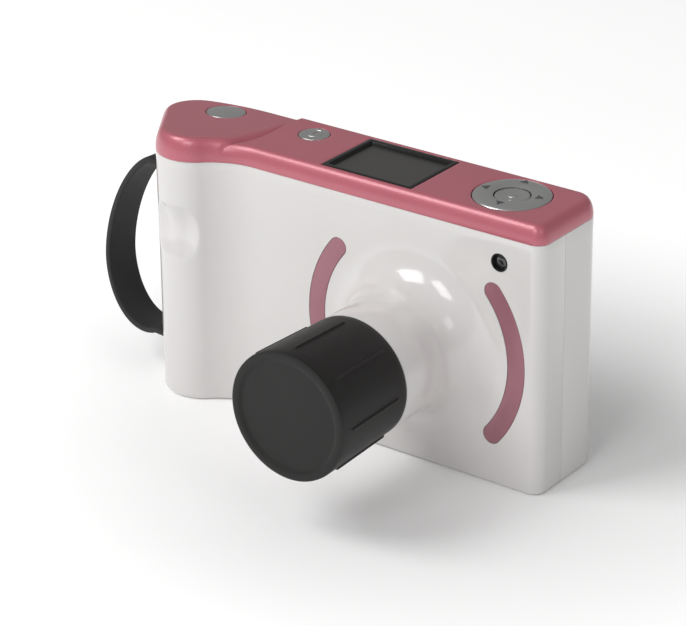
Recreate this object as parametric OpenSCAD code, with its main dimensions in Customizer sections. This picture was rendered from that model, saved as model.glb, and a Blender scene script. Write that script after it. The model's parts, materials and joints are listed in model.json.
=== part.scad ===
// Handheld intraoral x-ray unit: a camera-shaped body with a beam cone, a hand strap and a top control panel.
// The unit stands on its flat base. The beam leaves along -Y, the panel faces +Z, the grip is at -X.

/* [Body] */
// Distance from the cone axis to the right face
body_right = 76.2; // [74:0.1:84]
// Depth of the body, front face to back face
body_depth = 55; // [53:0.5:60]
// Height of the seam between the white housing and the top cover
seam_z = 138; // [136:0.5:144]
// Wall thickness of the housings
wall = 2.5; // [2:0.1:3]
// Distance from the front face to the parting line of front and rear housings
split_y = 21.5; // [20:0.5:24]
// Height of the rounded top cover above the seam
cover_h = 9.8; // [9:0.1:11]
// Horizontal reach of the top cover's rounded edge
cover_round = 5; // [3:0.1:5]

/* [Grip] */
// How far the grip bulges in front of the front face
bulge_out = 16.3; // [14:0.1:17]
// Radius of the grip's front bulge
bulge_r = 22; // [20:0.5:24]
// Height of the grip pad above the seam, at the front face
pad_h = 11.8; // [11:0.1:13]
// Fall of the grip pad towards the back, per unit of depth
pad_fall = 0.076; // [0.05:0.002:0.09]
// Depth of the finger scoop
scoop_depth = 3.5; // [2:0.1:4]

/* [Cone] */
// Height of the cone axis above the base
axis_z = 67.8; // [66:0.1:72]
// Outer radius of the flared neck where it becomes straight
neck_r = 32.2; // [31.5:0.1:33]
// Radius of the flare between the face and the neck
flare_r = 22; // [18:0.5:23]
// Length of the neck in front of the front face
neck_len = 50.6; // [45:0.1:52]
// Outer radius of the beam tube
tube_r = 30; // [29:0.1:30]
// Length of the beam tube in front of the front face
tube_len = 101; // [95:0.5:101]

/* [Strap] */
// Width of the hand strap
strap_w = 20; // [16:0.5:22]
// Thickness of the hand strap
strap_t = 3.5; // [3:0.1:4]
// Half of the strap loop's height
strap_half = 51.8; // [48:0.1:54]
// How far the loop bows out from the grip
strap_bow = 37.6; // [34:0.1:42]
// How far the middle of the loop hangs below its anchors' midpoint
strap_sag = 17.4; // [0:0.1:20]

/* [Controls] */
// Radius of the exposure button
expose_r = 10.6; // [9.5:0.1:11]
// Travel of the exposure button
expose_travel = 0.8; // [0.5:0.1:0.8]
// Radius of the power button
power_r = 8.3; // [7.5:0.1:8.5]
// Travel of the power and select buttons
key_travel = 0.6; // [0.3:0.1:0.6]
// Outer radius of the navigation ring
ring_r = 20.1; // [19:0.1:20.5]
// Radius of the select button inside the ring
select_r = 9; // [8.5:0.1:9.1]

/* [Hidden] */
$fn = 96;
eps = 0.01;

// Plan outline of the body, as a chain of tangent arcs: [centre x, centre y, radius]
front_right = [body_right - 7, 7, 7];
back_right = [body_right - 12, body_depth - 12, 12];
back_sweep_a = 17;
back_sweep = [-131, body_depth - 130, 130];
back_left_r = 20;
back_left = [back_sweep[0] + (130 - back_left_r) * cos(90 + back_sweep_a),
    back_sweep[1] + (130 - back_left_r) * sin(90 + back_sweep_a), back_left_r];
bulge = [-144.3, bulge_r - bulge_out, bulge_r];
neck_fillet = 40;
neck_dx = sqrt(pow(bulge_r + neck_fillet, 2) - pow(neck_fillet + bulge[1], 2));
grip_neck = [bulge[0] + neck_dx, -neck_fillet, neck_fillet];
to_bulge = [bulge[0] - back_left[0], bulge[1] - back_left[1]];
side_a = atan2(to_bulge[1], to_bulge[0]) + 360 - 90 - asin((bulge_r - back_left_r) / norm(to_bulge));
neck_a = atan2(bulge[1] + neck_fillet, -neck_dx);

// Step between the control panel and the grip pad
step_x = -113.5;
step_half = 1.5;

// Heights and gaps
gasket_h = 0.3;
plateau_z = seam_z + cover_h;
pad_tilt = atan(pad_fall);
fit = 0.3;
flange_t = 1;

// Places on the panel
expose_at = [-149.3, 36.3];
power_at = [-90.1, 36.3];
ring_at = [39.7, 28.5];
display_at = [-34.1, 26.8];
display_size = [56.6, 43.4];
sensor_at = [51.5, 124.2];
sensor_r = 4.8;
key_board_z = 136;
pcb_t = 1.6;
nav_pivot_z = 141.5;
ring_skirt_z = nav_pivot_z + 2.4;
grip_board_drop = 12.6;
grip_screw_x = 14.5;

// Beam parts
inlay_in = 56.9;
inlay_out = 67.4;
inlay_mid = (inlay_in + inlay_out) / 2;
inlay_half = (inlay_out - inlay_in) / 2;
inlay_a = 39.5;
inlay_t = 1;
tube_wall = 2.5;
cap_rear_y = -(neck_len + fit);
cap_front_y = -(tube_len + 4.7);
cap_fit = 0.05;
cap_rear_r = 32.3;
cap_front_r = 34.2;
cap_taper = atan((cap_front_r - cap_rear_r) / (cap_rear_y - cap_front_y));
flange_y = 5;
tank_front = 8;

// Strap frame: the hinge pin's axis is its origin, and the loop leaves the grip turned a little to the back
strap_turn = 7;
tongue = 9;
strap_at = [-165.1, 8.9, 75];
strap_steps = 28;
strap_curve = 1.85;
strap_tail = 4;
strap_gap = 0.9;
pin_r = 1.5;

// The origin is the middle of the object's box, on the base plane
strap_reach = strap_at[0] - (tongue + strap_bow) * cos(strap_turn) - strap_w / 2 * sin(strap_turn);
mid_x = (body_right + strap_reach) / 2;
mid_y = (body_depth + cap_front_y) / 2;

// Tank and tube
tank_x = [-55, 49];
tank_z = [18, 118];
tank_back = 50;
tank_wall = 3;
focus_y = 29;
port_r = 22;

// Fasteners
housing_screw_at = [[66, 10], [66, 128], [-66, 10], [-66, 128], [-122, 12], [-122, 124]];
board_screw_at = [[-100, 8], [-100, 48], [4, 8], [4, 48], [64, 10], [62, 48]];
jack_at = [-88, 20];

function arc_points(arc, inset, from, to, steps) =
    [for (i = [0:steps]) let (a = from + (to - from) * i / steps, r = arc[2] - inset)
        [arc[0] + r * cos(a), arc[1] + r * sin(a)]];

// Angle on the concave arc in front of the grip where the outline passes x
function neck_angle(inset, x) = acos((x - grip_neck[0]) / (neck_fillet + inset));

// Plan outline moved inwards by inset, anticlockwise: the control panel's part from the step's front end to its
// back end, then the grip pad's part back to the front
function panel_chain(inset) = concat(
    arc_points(grip_neck, -inset, neck_angle(inset, step_x + step_half), 90, 3),
    arc_points(front_right, inset, 270, 360, 6),
    arc_points(back_right, inset, 0, 90, 8),
    [[step_x + step_half, body_depth - inset]]);
function pad_chain(inset) = concat(
    [[step_x - step_half, body_depth - inset]],
    arc_points(back_sweep, inset, 90, 90 + back_sweep_a, 4),
    arc_points(back_left, inset, 90 + back_sweep_a, side_a, 10),
    arc_points(bulge, inset, side_a, 180 + neck_a, 10),
    arc_points(grip_neck, -inset, neck_a, neck_angle(inset, step_x - step_half), 5));
function outline(inset) = concat(panel_chain(inset), pad_chain(inset));

module placed() {
    translate([-mid_x, -mid_y, 0]) children();
}

module prism(inset, z0, z1) {
    translate([0, 0, z0]) linear_extrude(z1 - z0) polygon(outline(inset));
}

// Cylinder along +Y from the given point
module rod_y(at, r, len) {
    translate(at) rotate([-90, 0, 0]) cylinder(h = len, r = r);
}

// Ring of holes or screws round the beam axis, children drawn along +Y
module round_beam(radius, count, first) {
    for (i = [0:count - 1])
        rotate([0, first + 360 * i / count, 0]) translate([radius, 0, 0]) children();
}

// Solid with the body's outline and a rounded top edge. Its top is drop below the cover's surface: flat over
// the control panel, and falling towards the back over the grip pad.
module cover_form(inset, base, drop, reach) {
    steps = 6;
    m = len(panel_chain(inset));
    rings = [for (j = [0:steps]) let (a = 90 * j / steps, pts = outline(inset + reach * (1 - cos(a))))
        [for (i = [0:len(pts) - 1]) let (p = pts[i], top = i < m ? plateau_z : seam_z + pad_h - pad_fall * p[1])
            [p[0], p[1], base + (top - drop - base) * sin(a)]]];
    n = len(rings[0]);
    t = steps * n;
    sides = [for (j = [0:steps - 1], i = [0:n - 1]) let (k = (i + 1) % n)
        each [[j * n + i, (j + 1) * n + i, (j + 1) * n + k], [j * n + i, (j + 1) * n + k, j * n + k]]];
    tops = [[for (i = [m - 1:-1:0]) t + i], [for (i = [n - 1:-1:m]) t + i],
        [t, t + n - 1, t + m], [t, t + m, t + m - 1]];
    polyhedron([for (ring = rings) each ring], concat([[for (i = [0:n - 1]) i]], tops, sides));
}

// Frame on the grip pad's surface at the exposure button, +Z square to the pad
module on_pad() {
    translate([expose_at[0], expose_at[1], seam_z + pad_h - pad_fall * expose_at[1]])
        rotate([-pad_tilt, 0, 0]) children();
}

// Groove that wraps round the front of the grip, cut by a torus with ball ends
module scoop(grow) {
    cut_r = 28;
    path_r = bulge_r + cut_r - scoop_depth;
    from = 252;
    to = 281;
    translate([bulge[0], bulge[1], 97.5]) {
        rotate([0, 0, from]) rotate_extrude(angle = to - from)
            intersection() {
                translate([path_r, 0]) circle(r = cut_r + grow);
                translate([0, -cut_r * 2]) square([path_r * 2 + cut_r, cut_r * 4]);
            }
        for (a = [from, to])
            translate([path_r * cos(a), path_r * sin(a), 0]) sphere(r = cut_r + grow);
    }
}

// Frame of the strap: origin on the hinge axis at mid height, +X out of the grip, +Y along the strap's width
module strap_frame() {
    translate(strap_at) rotate([0, 0, 180 - strap_turn]) children();
}

// Slots in the grip's wall: the strap's own outline grown by a clearance, so the loop stays clear as it swings
module strap_slots() {
    slot_w = strap_w + 4;
    strap_frame() translate([0, slot_w / 2, 0]) rotate([90, 0, 0]) linear_extrude(slot_w)
        polygon(strap_outline(strap_gap, strap_tail + 1));
}

// Trumpet-shaped flare and neck; grow moves its surface outwards, from and to are distances before the face
module flare(r, from, to) {
    sink = 0.3;
    arc_r = flare_r + (neck_r - r);
    translate([0, 0, axis_z]) rotate([90, 0, 0]) rotate_extrude() {
        translate([0, from]) square([r, to - from]);
        difference() {
            translate([0, from]) square([neck_r + flare_r, flare_r - sink - from]);
            translate([neck_r + flare_r, flare_r - sink]) circle(r = arc_r);
        }
    }
}

module screw_boss(at, from, to, r) {
    rod_y([at[0], from, at[1]], r, to - from);
}

// Outline of the right inlay: an arc band round the beam axis with round ends
function inlay_end(s) = [inlay_mid * cos(inlay_a), s * inlay_mid * sin(inlay_a), inlay_half];
inlay_outline = concat(
    arc_points([0, 0, inlay_out], 0, -inlay_a, inlay_a, 20),
    arc_points(inlay_end(1), 0, inlay_a + 20, inlay_a + 160, 7),
    arc_points([0, 0, inlay_in], 0, inlay_a, -inlay_a, 20),
    arc_points(inlay_end(-1), 0, 200 - inlay_a, 340 - inlay_a, 7));

module inlay(side, t) {
    translate([0, inlay_t, axis_z]) rotate([90, 0, 0]) linear_extrude(t) mirror([side < 0 ? 1 : 0, 0, 0])
        polygon(inlay_outline);
}

// Slice of the white housing between two depths, with its walls, the finger scoop and the strap's slots
module housing_slice(from_y, to_y) {
    intersection() {
        difference() {
            prism(0, 0, seam_z - gasket_h / 2);
            difference() {
                prism(wall, wall, seam_z + 1);
                scoop(wall);
            }
            scoop(0);
            strap_slots();
        }
        translate([-260, from_y, -1]) cube([400, to_y - from_y, 200]);
    }
}

module front_housing() {
    color([0.86, 0.84, 0.82]) placed() difference() {
        union() {
            housing_slice(-60, split_y);
            flare(neck_r, -wall, neck_len);
            intersection() {
                for (at = housing_screw_at) screw_boss(at, -bulge_out, split_y, 3.6);
                prism(wall / 2, 0, seam_z - 1);
            }
        }
        flare(neck_r - wall + 0.35, -wall - 1, flare_r);
        rod_y([0, -neck_len - 1, axis_z], tube_r, neck_len + 10);
        for (side = [-1, 1]) inlay(side, inlay_t + 1);
        rod_y([sensor_at[0], -1, sensor_at[1]], sensor_r, wall + 2);
        for (at = housing_screw_at) rod_y([at[0], 8, at[1]], pin_r, split_y);
    }
}

module rear_cover() {
    color([0.86, 0.84, 0.82]) placed() difference() {
        union() {
            housing_slice(split_y, 60);
            for (at = housing_screw_at) screw_boss(at, split_y, body_depth - 1, 3.6);
        }
        for (at = housing_screw_at) {
            rod_y([at[0], split_y - 1, at[1]], pin_r + 0.2, body_depth);
            rod_y([at[0], body_depth - 4, at[1]], 3, 5);
        }
        rod_y([jack_at[0], body_depth - wall - 1, jack_at[1]], 4.2, wall + 2);
    }
}

module top_cover() {
    color([0.67, 0.38, 0.43]) placed() {
        difference() {
            cover_form(0, seam_z + gasket_h / 2, 0, cover_round);
            cover_form(wall, seam_z - 1, wall, cover_round - 1);
            on_pad() translate([0, 0, -6]) cylinder(h = 12, r = expose_r + 0.4);
            translate([power_at[0], power_at[1], seam_z + 2]) cylinder(h = 20, r = power_r + 0.3);
            translate([ring_at[0], ring_at[1], seam_z + 2]) cylinder(h = 20, r = ring_r + 0.5);
            translate([display_at[0], display_at[1], seam_z + 10])
                cube([display_size[0], display_size[1], 20], center = true);
        }
        for (at = board_screw_at) difference() {
            translate([at[0], at[1], key_board_z + pcb_t]) cylinder(h = plateau_z - wall - key_board_z - pcb_t, r = 2.6);
            translate([at[0], at[1], key_board_z]) cylinder(h = 7, r = 1.2);
        }
        on_pad() for (x = [-grip_screw_x, grip_screw_x]) translate([x, 0, -grip_board_drop]) difference() {
            cylinder(h = grip_board_drop - wall + 0.3, r = 2.2);
            translate([0, 0, -1]) cylinder(h = 6.4, r = 1.2);
        }
    }
}

module seam_gasket() {
    color([0.12, 0.1, 0.1]) placed() difference() {
        prism(0.35, seam_z - gasket_h / 2, seam_z + gasket_h / 2);
        prism(wall - 0.2, seam_z - 1, seam_z + 1);
    }
}

module left_inlay() {
    color([0.63, 0.45, 0.51]) placed() inlay(-1, inlay_t + 0.05);
}

module right_inlay() {
    color([0.63, 0.45, 0.51]) placed() inlay(1, inlay_t + 0.05);
}

module sensor_bezel() {
    color([0.06, 0.06, 0.07]) placed() difference() {
        rod_y([sensor_at[0], -0.4, sensor_at[1]], sensor_r, 6);
        rod_y([sensor_at[0], -1, sensor_at[1]], sensor_r - 0.9, 8);
    }
}

module sensor_lens() {
    color([0.1, 0.08, 0.1]) placed() intersection() {
        rod_y([sensor_at[0], -0.9, sensor_at[1]], sensor_r - 0.9, 4);
        translate([sensor_at[0], 8.5, sensor_at[1]]) sphere(r = 9.3);
    }
}

module display_bezel() {
    color([0.03, 0.03, 0.04]) placed() translate([display_at[0], display_at[1], plateau_z + 0.15]) difference() {
        translate([0, 0, -1.5]) cube([display_size[0], display_size[1], 3], center = true);
        translate([0, 0, -0.5]) cube([display_size[0] - 4, display_size[1] - 4, 2], center = true);
        translate([0, 0, -1.5]) cube([display_size[0] - 9, display_size[1] - 9, 4], center = true);
    }
}

module display_window() {
    color([0.2, 0.22, 0.25]) placed() translate([display_at[0], display_at[1], plateau_z + 0.05 - 0.7])
        cube([display_size[0] - 4, display_size[1] - 4, 1.4], center = true);
}

module lcd_panel() {
    color([0.25, 0.27, 0.28]) placed() translate([display_at[0] - 27.5, display_at[1] - 20.5, key_board_z + pcb_t])
        cube([55, 41, plateau_z - 3 - key_board_z - pcb_t]);
}

module exposure_button() {
    color([0.62, 0.62, 0.62]) placed() on_pad() {
        translate([0, 0, -wall - fit]) cylinder(h = wall + fit, r = expose_r);
        intersection() {
            cylinder(h = 0.7, r = expose_r);
            translate([0, 0, 0.7 - 60]) sphere(r = 60);
        }
        translate([0, 0, -wall - fit - flange_t]) cylinder(h = flange_t, r = expose_r + 1.4);
        translate([0, 0, -7.6]) cylinder(h = 4, r = 3);
    }
}

module exposure_switch() {
    color([0.15, 0.15, 0.16]) placed() on_pad() {
        translate([-6, -6, -grip_board_drop]) cube([12, 12, 3.6]);
        translate([0, 0, -9.1]) cylinder(h = 9.1 - 7.6 - expose_travel - 0.1, r = 3);
    }
}

module grip_board() {
    color([0.1, 0.35, 0.2]) placed() on_pad() translate([0, 0, -grip_board_drop - pcb_t]) difference() {
        translate([-17.3, -10, 0]) cube([34.6, 20, pcb_t]);
        for (x = [-grip_screw_x, grip_screw_x]) translate([x, 0, -1]) cylinder(h = 4, r = 1.2);
    }
}

module power_button() {
    color([0.66, 0.66, 0.66]) placed() translate([power_at[0], power_at[1], plateau_z]) {
        translate([0, 0, -wall - fit]) cylinder(h = wall + fit, r = power_r);
        intersection() {
            cylinder(h = 0.6, r = power_r);
            translate([0, 0, 0.6 - 45]) sphere(r = 45);
        }
        translate([0, 0, -wall - fit - flange_t]) cylinder(h = flange_t, r = power_r + 1.3);
        translate([0, 0, -5.9]) cylinder(h = 3, r = 2.5);
    }
}

// Tact switch on the key board, under a stem that ends at stem_z
module tact_switch(at, stem_z, travel) {
    board = key_board_z + pcb_t;
    translate([at[0] - 3, at[1] - 3, board]) cube([6, 6, 2.2]);
    translate([at[0], at[1], board + 2]) cylinder(h = stem_z - travel - 0.1 - board - 2, r = 1.7);
}

module power_switch() {
    color([0.15, 0.15, 0.16]) placed() tact_switch(power_at, plateau_z - 5.9, key_travel);
}

module at_ring(z) {
    translate([ring_at[0], ring_at[1], z]) children();
}

// Rocking ring: a domed annulus on a skirt, with two lugs that hang from the gimbal's pins along Y
module nav_ring() {
    inner = select_r + 0.6;
    crown = 10.5;
    color([0.7, 0.7, 0.7]) placed() difference() {
        union() {
            at_ring(0) rotate_extrude() {
                translate([inner, plateau_z - 1.6]) square([ring_r - inner, 1.6]);
                intersection() {
                    translate([inner, plateau_z - 1]) square([ring_r - inner, 3]);
                    translate([(inner + ring_r) / 2, plateau_z + 1.4 - crown]) circle(r = crown);
                }
                translate([16.1, ring_skirt_z]) square([ring_r - 16.1, plateau_z - 1 - ring_skirt_z]);
            }
            for (s = [-1, 1]) at_ring(nav_pivot_z) translate([-2, s * 17.6 - 1.2, -1.8]) cube([4, 2.4, 5]);
        }
        for (s = [-1, 1]) at_ring(nav_pivot_z) translate([0, s * 17.6, 0]) rotate([90, 0, 0])
            cylinder(h = 6, r = 0.85, center = true);
    }
}

// Gimbal: its pins along X rock in the bracket, and its pins along Y carry the ring
module nav_gimbal() {
    color([0.75, 0.75, 0.72]) placed() at_ring(nav_pivot_z) {
        difference() {
            translate([0, 0, -0.9]) cylinder(h = 1.8, r = 15.6);
            cylinder(h = 6, r = 12.6, center = true);
        }
        for (a = [0:90:270]) rotate([0, 0, a]) translate([14, 0, 0]) rotate([0, 90, 0]) cylinder(h = 5, r = 0.8);
    }
}

module nav_bracket() {
    board = key_board_z + pcb_t;
    color([0.2, 0.2, 0.22]) placed() at_ring(0) difference() {
        for (s = [-1, 1]) translate([s * 17.6 - 1.2, -2.5, board]) cube([2.4, 5, nav_pivot_z + 1.5 - board]);
        translate([0, 0, nav_pivot_z]) rotate([0, 90, 0]) cylinder(h = 60, r = 0.85, center = true);
    }
}

module select_button() {
    color([0.72, 0.72, 0.72]) placed() at_ring(plateau_z) {
        translate([0, 0, -3]) cylinder(h = 2.8, r = select_r);
        intersection() {
            translate([0, 0, -1]) cylinder(h = 1.4, r = select_r);
            translate([0, 0, 0.4 - 50]) sphere(r = 50);
        }
        translate([0, 0, -5.9]) cylinder(h = 3.5, r = 2.5);
    }
}

module nav_switches() {
    color([0.15, 0.15, 0.16]) placed() {
        tact_switch(ring_at, plateau_z - 5.9, key_travel);
        for (a = [45:90:315])
            tact_switch([ring_at[0] + 17.6 * cos(a), ring_at[1] + 17.6 * sin(a)], ring_skirt_z, 0.9);
    }
}

module key_board() {
    color([0.1, 0.35, 0.2]) placed() difference() {
        translate([-106, 4.5, key_board_z]) cube([174, 46, pcb_t]);
        for (at = board_screw_at) translate([at[0], at[1], key_board_z - 1]) cylinder(h = 4, r = 1.2);
    }
}

module board_screw() {
    translate([0, 0, -1.6]) cylinder(h = 1.6, r = 2.3);
    translate([0, 0, -0.5]) cylinder(h = 7, r = 1.2);
}

module board_screws() {
    color([0.7, 0.7, 0.7]) placed() {
        for (at = board_screw_at) translate([at[0], at[1], key_board_z]) board_screw();
        on_pad() for (x = [-grip_screw_x, grip_screw_x])
            translate([x, 0, -grip_board_drop - pcb_t]) board_screw();
    }
}

module buzzer() {
    color([0.08, 0.08, 0.08]) placed() translate([-80, 14, key_board_z - 6]) difference() {
        cylinder(h = 6, r = 6);
        translate([0, 0, -1]) cylinder(h = 2, r = 1);
    }
}

module cone_tube() {
    color([0.8, 0.79, 0.76]) placed() difference() {
        union() {
            rod_y([0, -tube_len, axis_z], tube_r, tube_len + tank_front);
            rod_y([0, flange_y, axis_z], 39, tank_front - flange_y);
        }
        rod_y([0, -tube_len + 2, axis_z], tube_r - tube_wall, tube_len + 20);
        rod_y([0, -tube_len - 1, axis_z], tube_r - tube_wall - 1, 10);
        translate([0, 0, axis_z]) round_beam(34.5, 4, 45) rod_y([0, 0, 0], pin_r, 20);
    }
}

module cone_liner() {
    color([0.4, 0.42, 0.45]) placed() difference() {
        rod_y([0, -tube_len + 3.5, axis_z], tube_r - tube_wall, tube_len - 5);
        rod_y([0, -tube_len, axis_z], tube_r - tube_wall - 1, tube_len + 9);
    }
}

module cone_window() {
    color([0.85, 0.85, 0.8]) placed() rod_y([0, -tube_len + 2, axis_z], tube_r - tube_wall, 1.5);
}

module cone_screws() {
    color([0.7, 0.7, 0.7]) placed() translate([0, 0, axis_z]) round_beam(34.5, 4, 45) {
        rod_y([0, flange_y - 2, 0], 2.8, 2);
        rod_y([0, flange_y - 0.5, 0], pin_r, tank_front + tank_wall - flange_y);
    }
}

// Cap over the beam tube: tapered cup, eight raised ribs, and a dished end with a raised rim
module cone_cap() {
    len = cap_rear_y - cap_front_y;
    edge = 1.5;
    cap_end = 4.4;
    dish_r = 28.4;
    rib_from = 8;
    rib_len = 38;
    color([0.1, 0.1, 0.11]) placed() translate([0, cap_rear_y, axis_z]) rotate([90, 0, 0]) difference() {
        union() {
            rotate_extrude() {
                polygon([[0, 0], [cap_rear_r, 0], [cap_front_r, len - edge], [cap_front_r - edge, len - edge],
                    [cap_front_r - edge, len], [0, len]]);
                translate([cap_front_r - edge, len - edge]) circle(r = edge);
            }
            for (i = [0:7]) rotate([0, 0, 360 * i / 8]) translate([cap_rear_r, 0, 0]) rotate([0, cap_taper, 0])
                translate([-1.2, -0.7, rib_from]) cube([2.1, 1.4, rib_len]);
        }
        translate([0, 0, len - 0.9]) cylinder(h = 2, r1 = dish_r, r2 = dish_r + 2);
        translate([0, 0, -1]) cylinder(h = len - cap_end + 1, r = tube_r + cap_fit);
    }
}

// Side view of the strap, out along +X and up along +Y; depth moves from the outer face inwards
function strap_points(depth) = [for (i = [0:strap_steps]) let (a = -90 + 180 * i / strap_steps,
        out = pow(max(cos(a), 0), 2 / strap_curve), up = sign(a) * pow(abs(sin(a)), 2 / strap_curve))
    [tongue + (strap_bow - depth) * out, (strap_half - depth) * up - strap_sag * out]];

// Side view of the whole strap, grown by gap, with its ends tail behind the hinge axis
function strap_outline(gap, tail) = let (outer = strap_points(-gap), inner = strap_points(strap_t + gap),
        out_z = strap_half + gap, in_z = strap_half - strap_t - gap)
    concat([[-tail, -out_z]], outer, [[-tail, out_z], [-tail, in_z]],
        [for (i = [strap_steps:-1:0]) inner[i]], [[-tail, -in_z]]);

module hand_strap() {
    color([0.09, 0.09, 0.09]) placed() strap_frame() difference() {
        translate([0, strap_w / 2, 0]) rotate([90, 0, 0]) linear_extrude(strap_w)
            polygon(strap_outline(0, strap_tail));
        cylinder(h = 4 * strap_half, r = pin_r + 0.05, center = true);
    }
}

module strap_anchors() {
    color([0.55, 0.56, 0.58]) placed() intersection() {
        prism(wall, wall, seam_z - 1);
        strap_frame() for (s = [-1, 1]) translate([0, 0, s * (strap_half - strap_t / 2)]) difference() {
            translate([-strap_tail - 2.6, -13, -4.5]) cube([strap_tail + 2.6 + tongue - 1, 26, 9]);
            translate([-strap_tail - 1.2, -14, -strap_t / 2 - 0.3]) cube([60, 28, strap_t + 0.6]);
            cylinder(h = 20, r = pin_r, center = true);
        }
    }
}

module strap_pins() {
    color([0.7, 0.7, 0.7]) placed() strap_frame() for (s = [-1, 1]) translate([0, 0, s * (strap_half - strap_t / 2)]) {
        cylinder(h = 9, r = pin_r, center = true);
        translate([0, 0, s < 0 ? -6 : 4.5]) cylinder(h = 1.5, r = 3);
    }
}

module tank_box(x0, x1, y0, y1, z0, z1) {
    translate([x0, y0, z0]) cube([x1 - x0, y1 - y0, z1 - z0]);
}

tank_screw_at = [[tank_x[0] + 6, tank_z[0] + 6], [tank_x[0] + 6, tank_z[1] - 6], [tank_x[1] - 6, tank_z[0] + 6],
    [tank_x[1] - 6, tank_z[1] - 6]];

module tank_body() {
    color([0.6, 0.62, 0.64]) placed() difference() {
        union() {
            difference() {
                tank_box(tank_x[0], tank_x[1], tank_front, tank_back - tank_wall, tank_z[0], tank_z[1]);
                tank_box(tank_x[0] + tank_wall, tank_x[1] - tank_wall, tank_front + tank_wall, tank_back,
                    tank_z[0] + tank_wall, tank_z[1] - tank_wall);
            }
            for (at = tank_screw_at) screw_boss(at, tank_front + 1, tank_back - tank_wall, 4.5);
        }
        rod_y([0, tank_front - 1, axis_z], port_r, 10);
        translate([0, 0, axis_z]) round_beam(34.5, 4, 45) rod_y([0, 0, 0], pin_r, 20);
        for (at = tank_screw_at) rod_y([at[0], tank_back - 14, at[1]], pin_r, 20);
    }
}

module tank_lid() {
    color([0.6, 0.62, 0.64]) placed() difference() {
        tank_box(tank_x[0], tank_x[1], tank_back - tank_wall, tank_back, tank_z[0], tank_z[1]);
        for (at = tank_screw_at) rod_y([at[0], tank_back - 14, at[1]], pin_r, 20);
    }
}

module tank_screws() {
    color([0.7, 0.7, 0.7]) placed() for (at = tank_screw_at) {
        rod_y([at[0], tank_back, at[1]], 2.4, 2);
        rod_y([at[0], tank_back - 10, at[1]], pin_r, 10.5);
    }
}

module tank_standoffs() {
    color([0.2, 0.2, 0.2]) placed() for (x = [tank_x[0] + 6, tank_x[1] - 6], z = [tank_z[0] + 6, tank_z[1] - 3])
        rod_y([x, wall, z], 3.5, tank_front - wall);
}

module lead_shield() {
    a = tank_wall + 0.5;
    b = a + 1.5;
    color([0.42, 0.43, 0.46]) placed() difference() {
        tank_box(tank_x[0] + a + 5, tank_x[1] - a - 8, tank_front + a, tank_back - 10, axis_z - 20, axis_z + 20);
        tank_box(tank_x[0] + b + 5, tank_x[1] - b - 8, tank_front + b, tank_back, axis_z - 18.5, axis_z + 18.5);
        rod_y([0, 0, axis_z], 14, 30);
    }
}

module beam_window() {
    color([0.9, 0.88, 0.8]) placed() difference() {
        rod_y([0, tank_front, axis_z], port_r, tank_wall);
        rod_y([0, tank_front - 1, axis_z], port_r - 4, tank_wall - 0.5);
    }
}

module beam_filter() {
    color([0.8, 0.8, 0.82]) placed() rod_y([0, 4.6, axis_z], tube_r - tube_wall, 1.4);
}

module collimator() {
    color([0.42, 0.43, 0.46]) placed() difference() {
        rod_y([0, -1.4, axis_z], tube_r - tube_wall, 6);
        translate([0, 5, axis_z]) rotate([90, 0, 0]) cylinder(h = 8, r1 = 8, r2 = 11);
    }
}

// The tube lies along X with its target on the beam axis
module along_tube(x) {
    translate([x, focus_y, axis_z]) rotate([0, 90, 0]) children();
}

module tube_glass() {
    color([0.8, 0.85, 0.85, 0.4]) placed() difference() {
        union() {
            along_tube(-30) cylinder(h = 60, r = 13);
            along_tube(-30) sphere(r = 13);
        }
        along_tube(-30) cylinder(h = 58, r = 11.8);
        along_tube(-30) sphere(r = 11.8);
        along_tube(20) cylinder(h = 20, r = 8);
    }
}

module anode() {
    color([0.72, 0.45, 0.3]) placed() difference() {
        along_tube(-5) cylinder(h = 50 - 12, r = 8);
        translate([0, focus_y, axis_z]) rotate([0, 0, -20]) translate([-20, -30, -15]) cube([20, 60, 30]);
        translate([0, focus_y, axis_z]) rotate([0, 0, -20]) rotate([0, 90, 0]) cylinder(h = 1.2, r = 4.5);
    }
}

module target() {
    color([0.35, 0.35, 0.36]) placed() translate([0, focus_y, axis_z]) rotate([0, 0, -20]) rotate([0, 90, 0])
        cylinder(h = 1.2, r = 4.5);
}

module cathode() {
    color([0.65, 0.65, 0.66]) placed() difference() {
        along_tube(-37) cylinder(h = 20, r = 7);
        along_tube(-19) cylinder(h = 4, r = 3);
    }
}

module tube_cradles() {
    color([0.85, 0.83, 0.78]) placed() for (x = [-26, 18]) difference() {
        translate([x, focus_y - 16, axis_z - 18.5]) cube([6, 27, 18.5]);
        along_tube(x - 1) cylinder(h = 8, r = 13);
    }
}

module transformer_core() {
    color([0.3, 0.3, 0.32]) placed() translate([-24, 15, 21]) difference() {
        cube([44, 28, 26]);
        translate([7, -1, 7]) cube([30, 30, 12]);
    }
}

module transformer_winding() {
    color([0.72, 0.4, 0.2]) placed() translate([-24, 15, 21]) {
        translate([7.5, -1.5, 7.2]) cube([12, 31, 11.6]);
        translate([24.5, -1.5, 7.2]) cube([12, 31, 11.6]);
    }
}

module multiplier_board() {
    color([0.75, 0.7, 0.45]) placed() {
        translate([-40, 14, 92]) cube([74, 30, pcb_t]);
        for (i = [0:5]) translate([-32 + 12 * i, 22, 92 + pcb_t - eps]) cylinder(h = 6, r = 4);
        for (i = [0:5]) translate([-36 + 12 * i, 32, 92 + pcb_t - eps]) cube([8, 4, 4]);
    }
}

cell_r = 9.2;
cell_len = 65;
cell_z = 34;
pack_at = [-148, 30.5];
cell_gap = 18.6;

module at_cells(z) {
    for (sx = [-1, 1], sy = [-1, 1])
        translate([pack_at[0] + sx * cell_gap / 2, pack_at[1] + sy * cell_gap / 2, z]) children();
}

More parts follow.
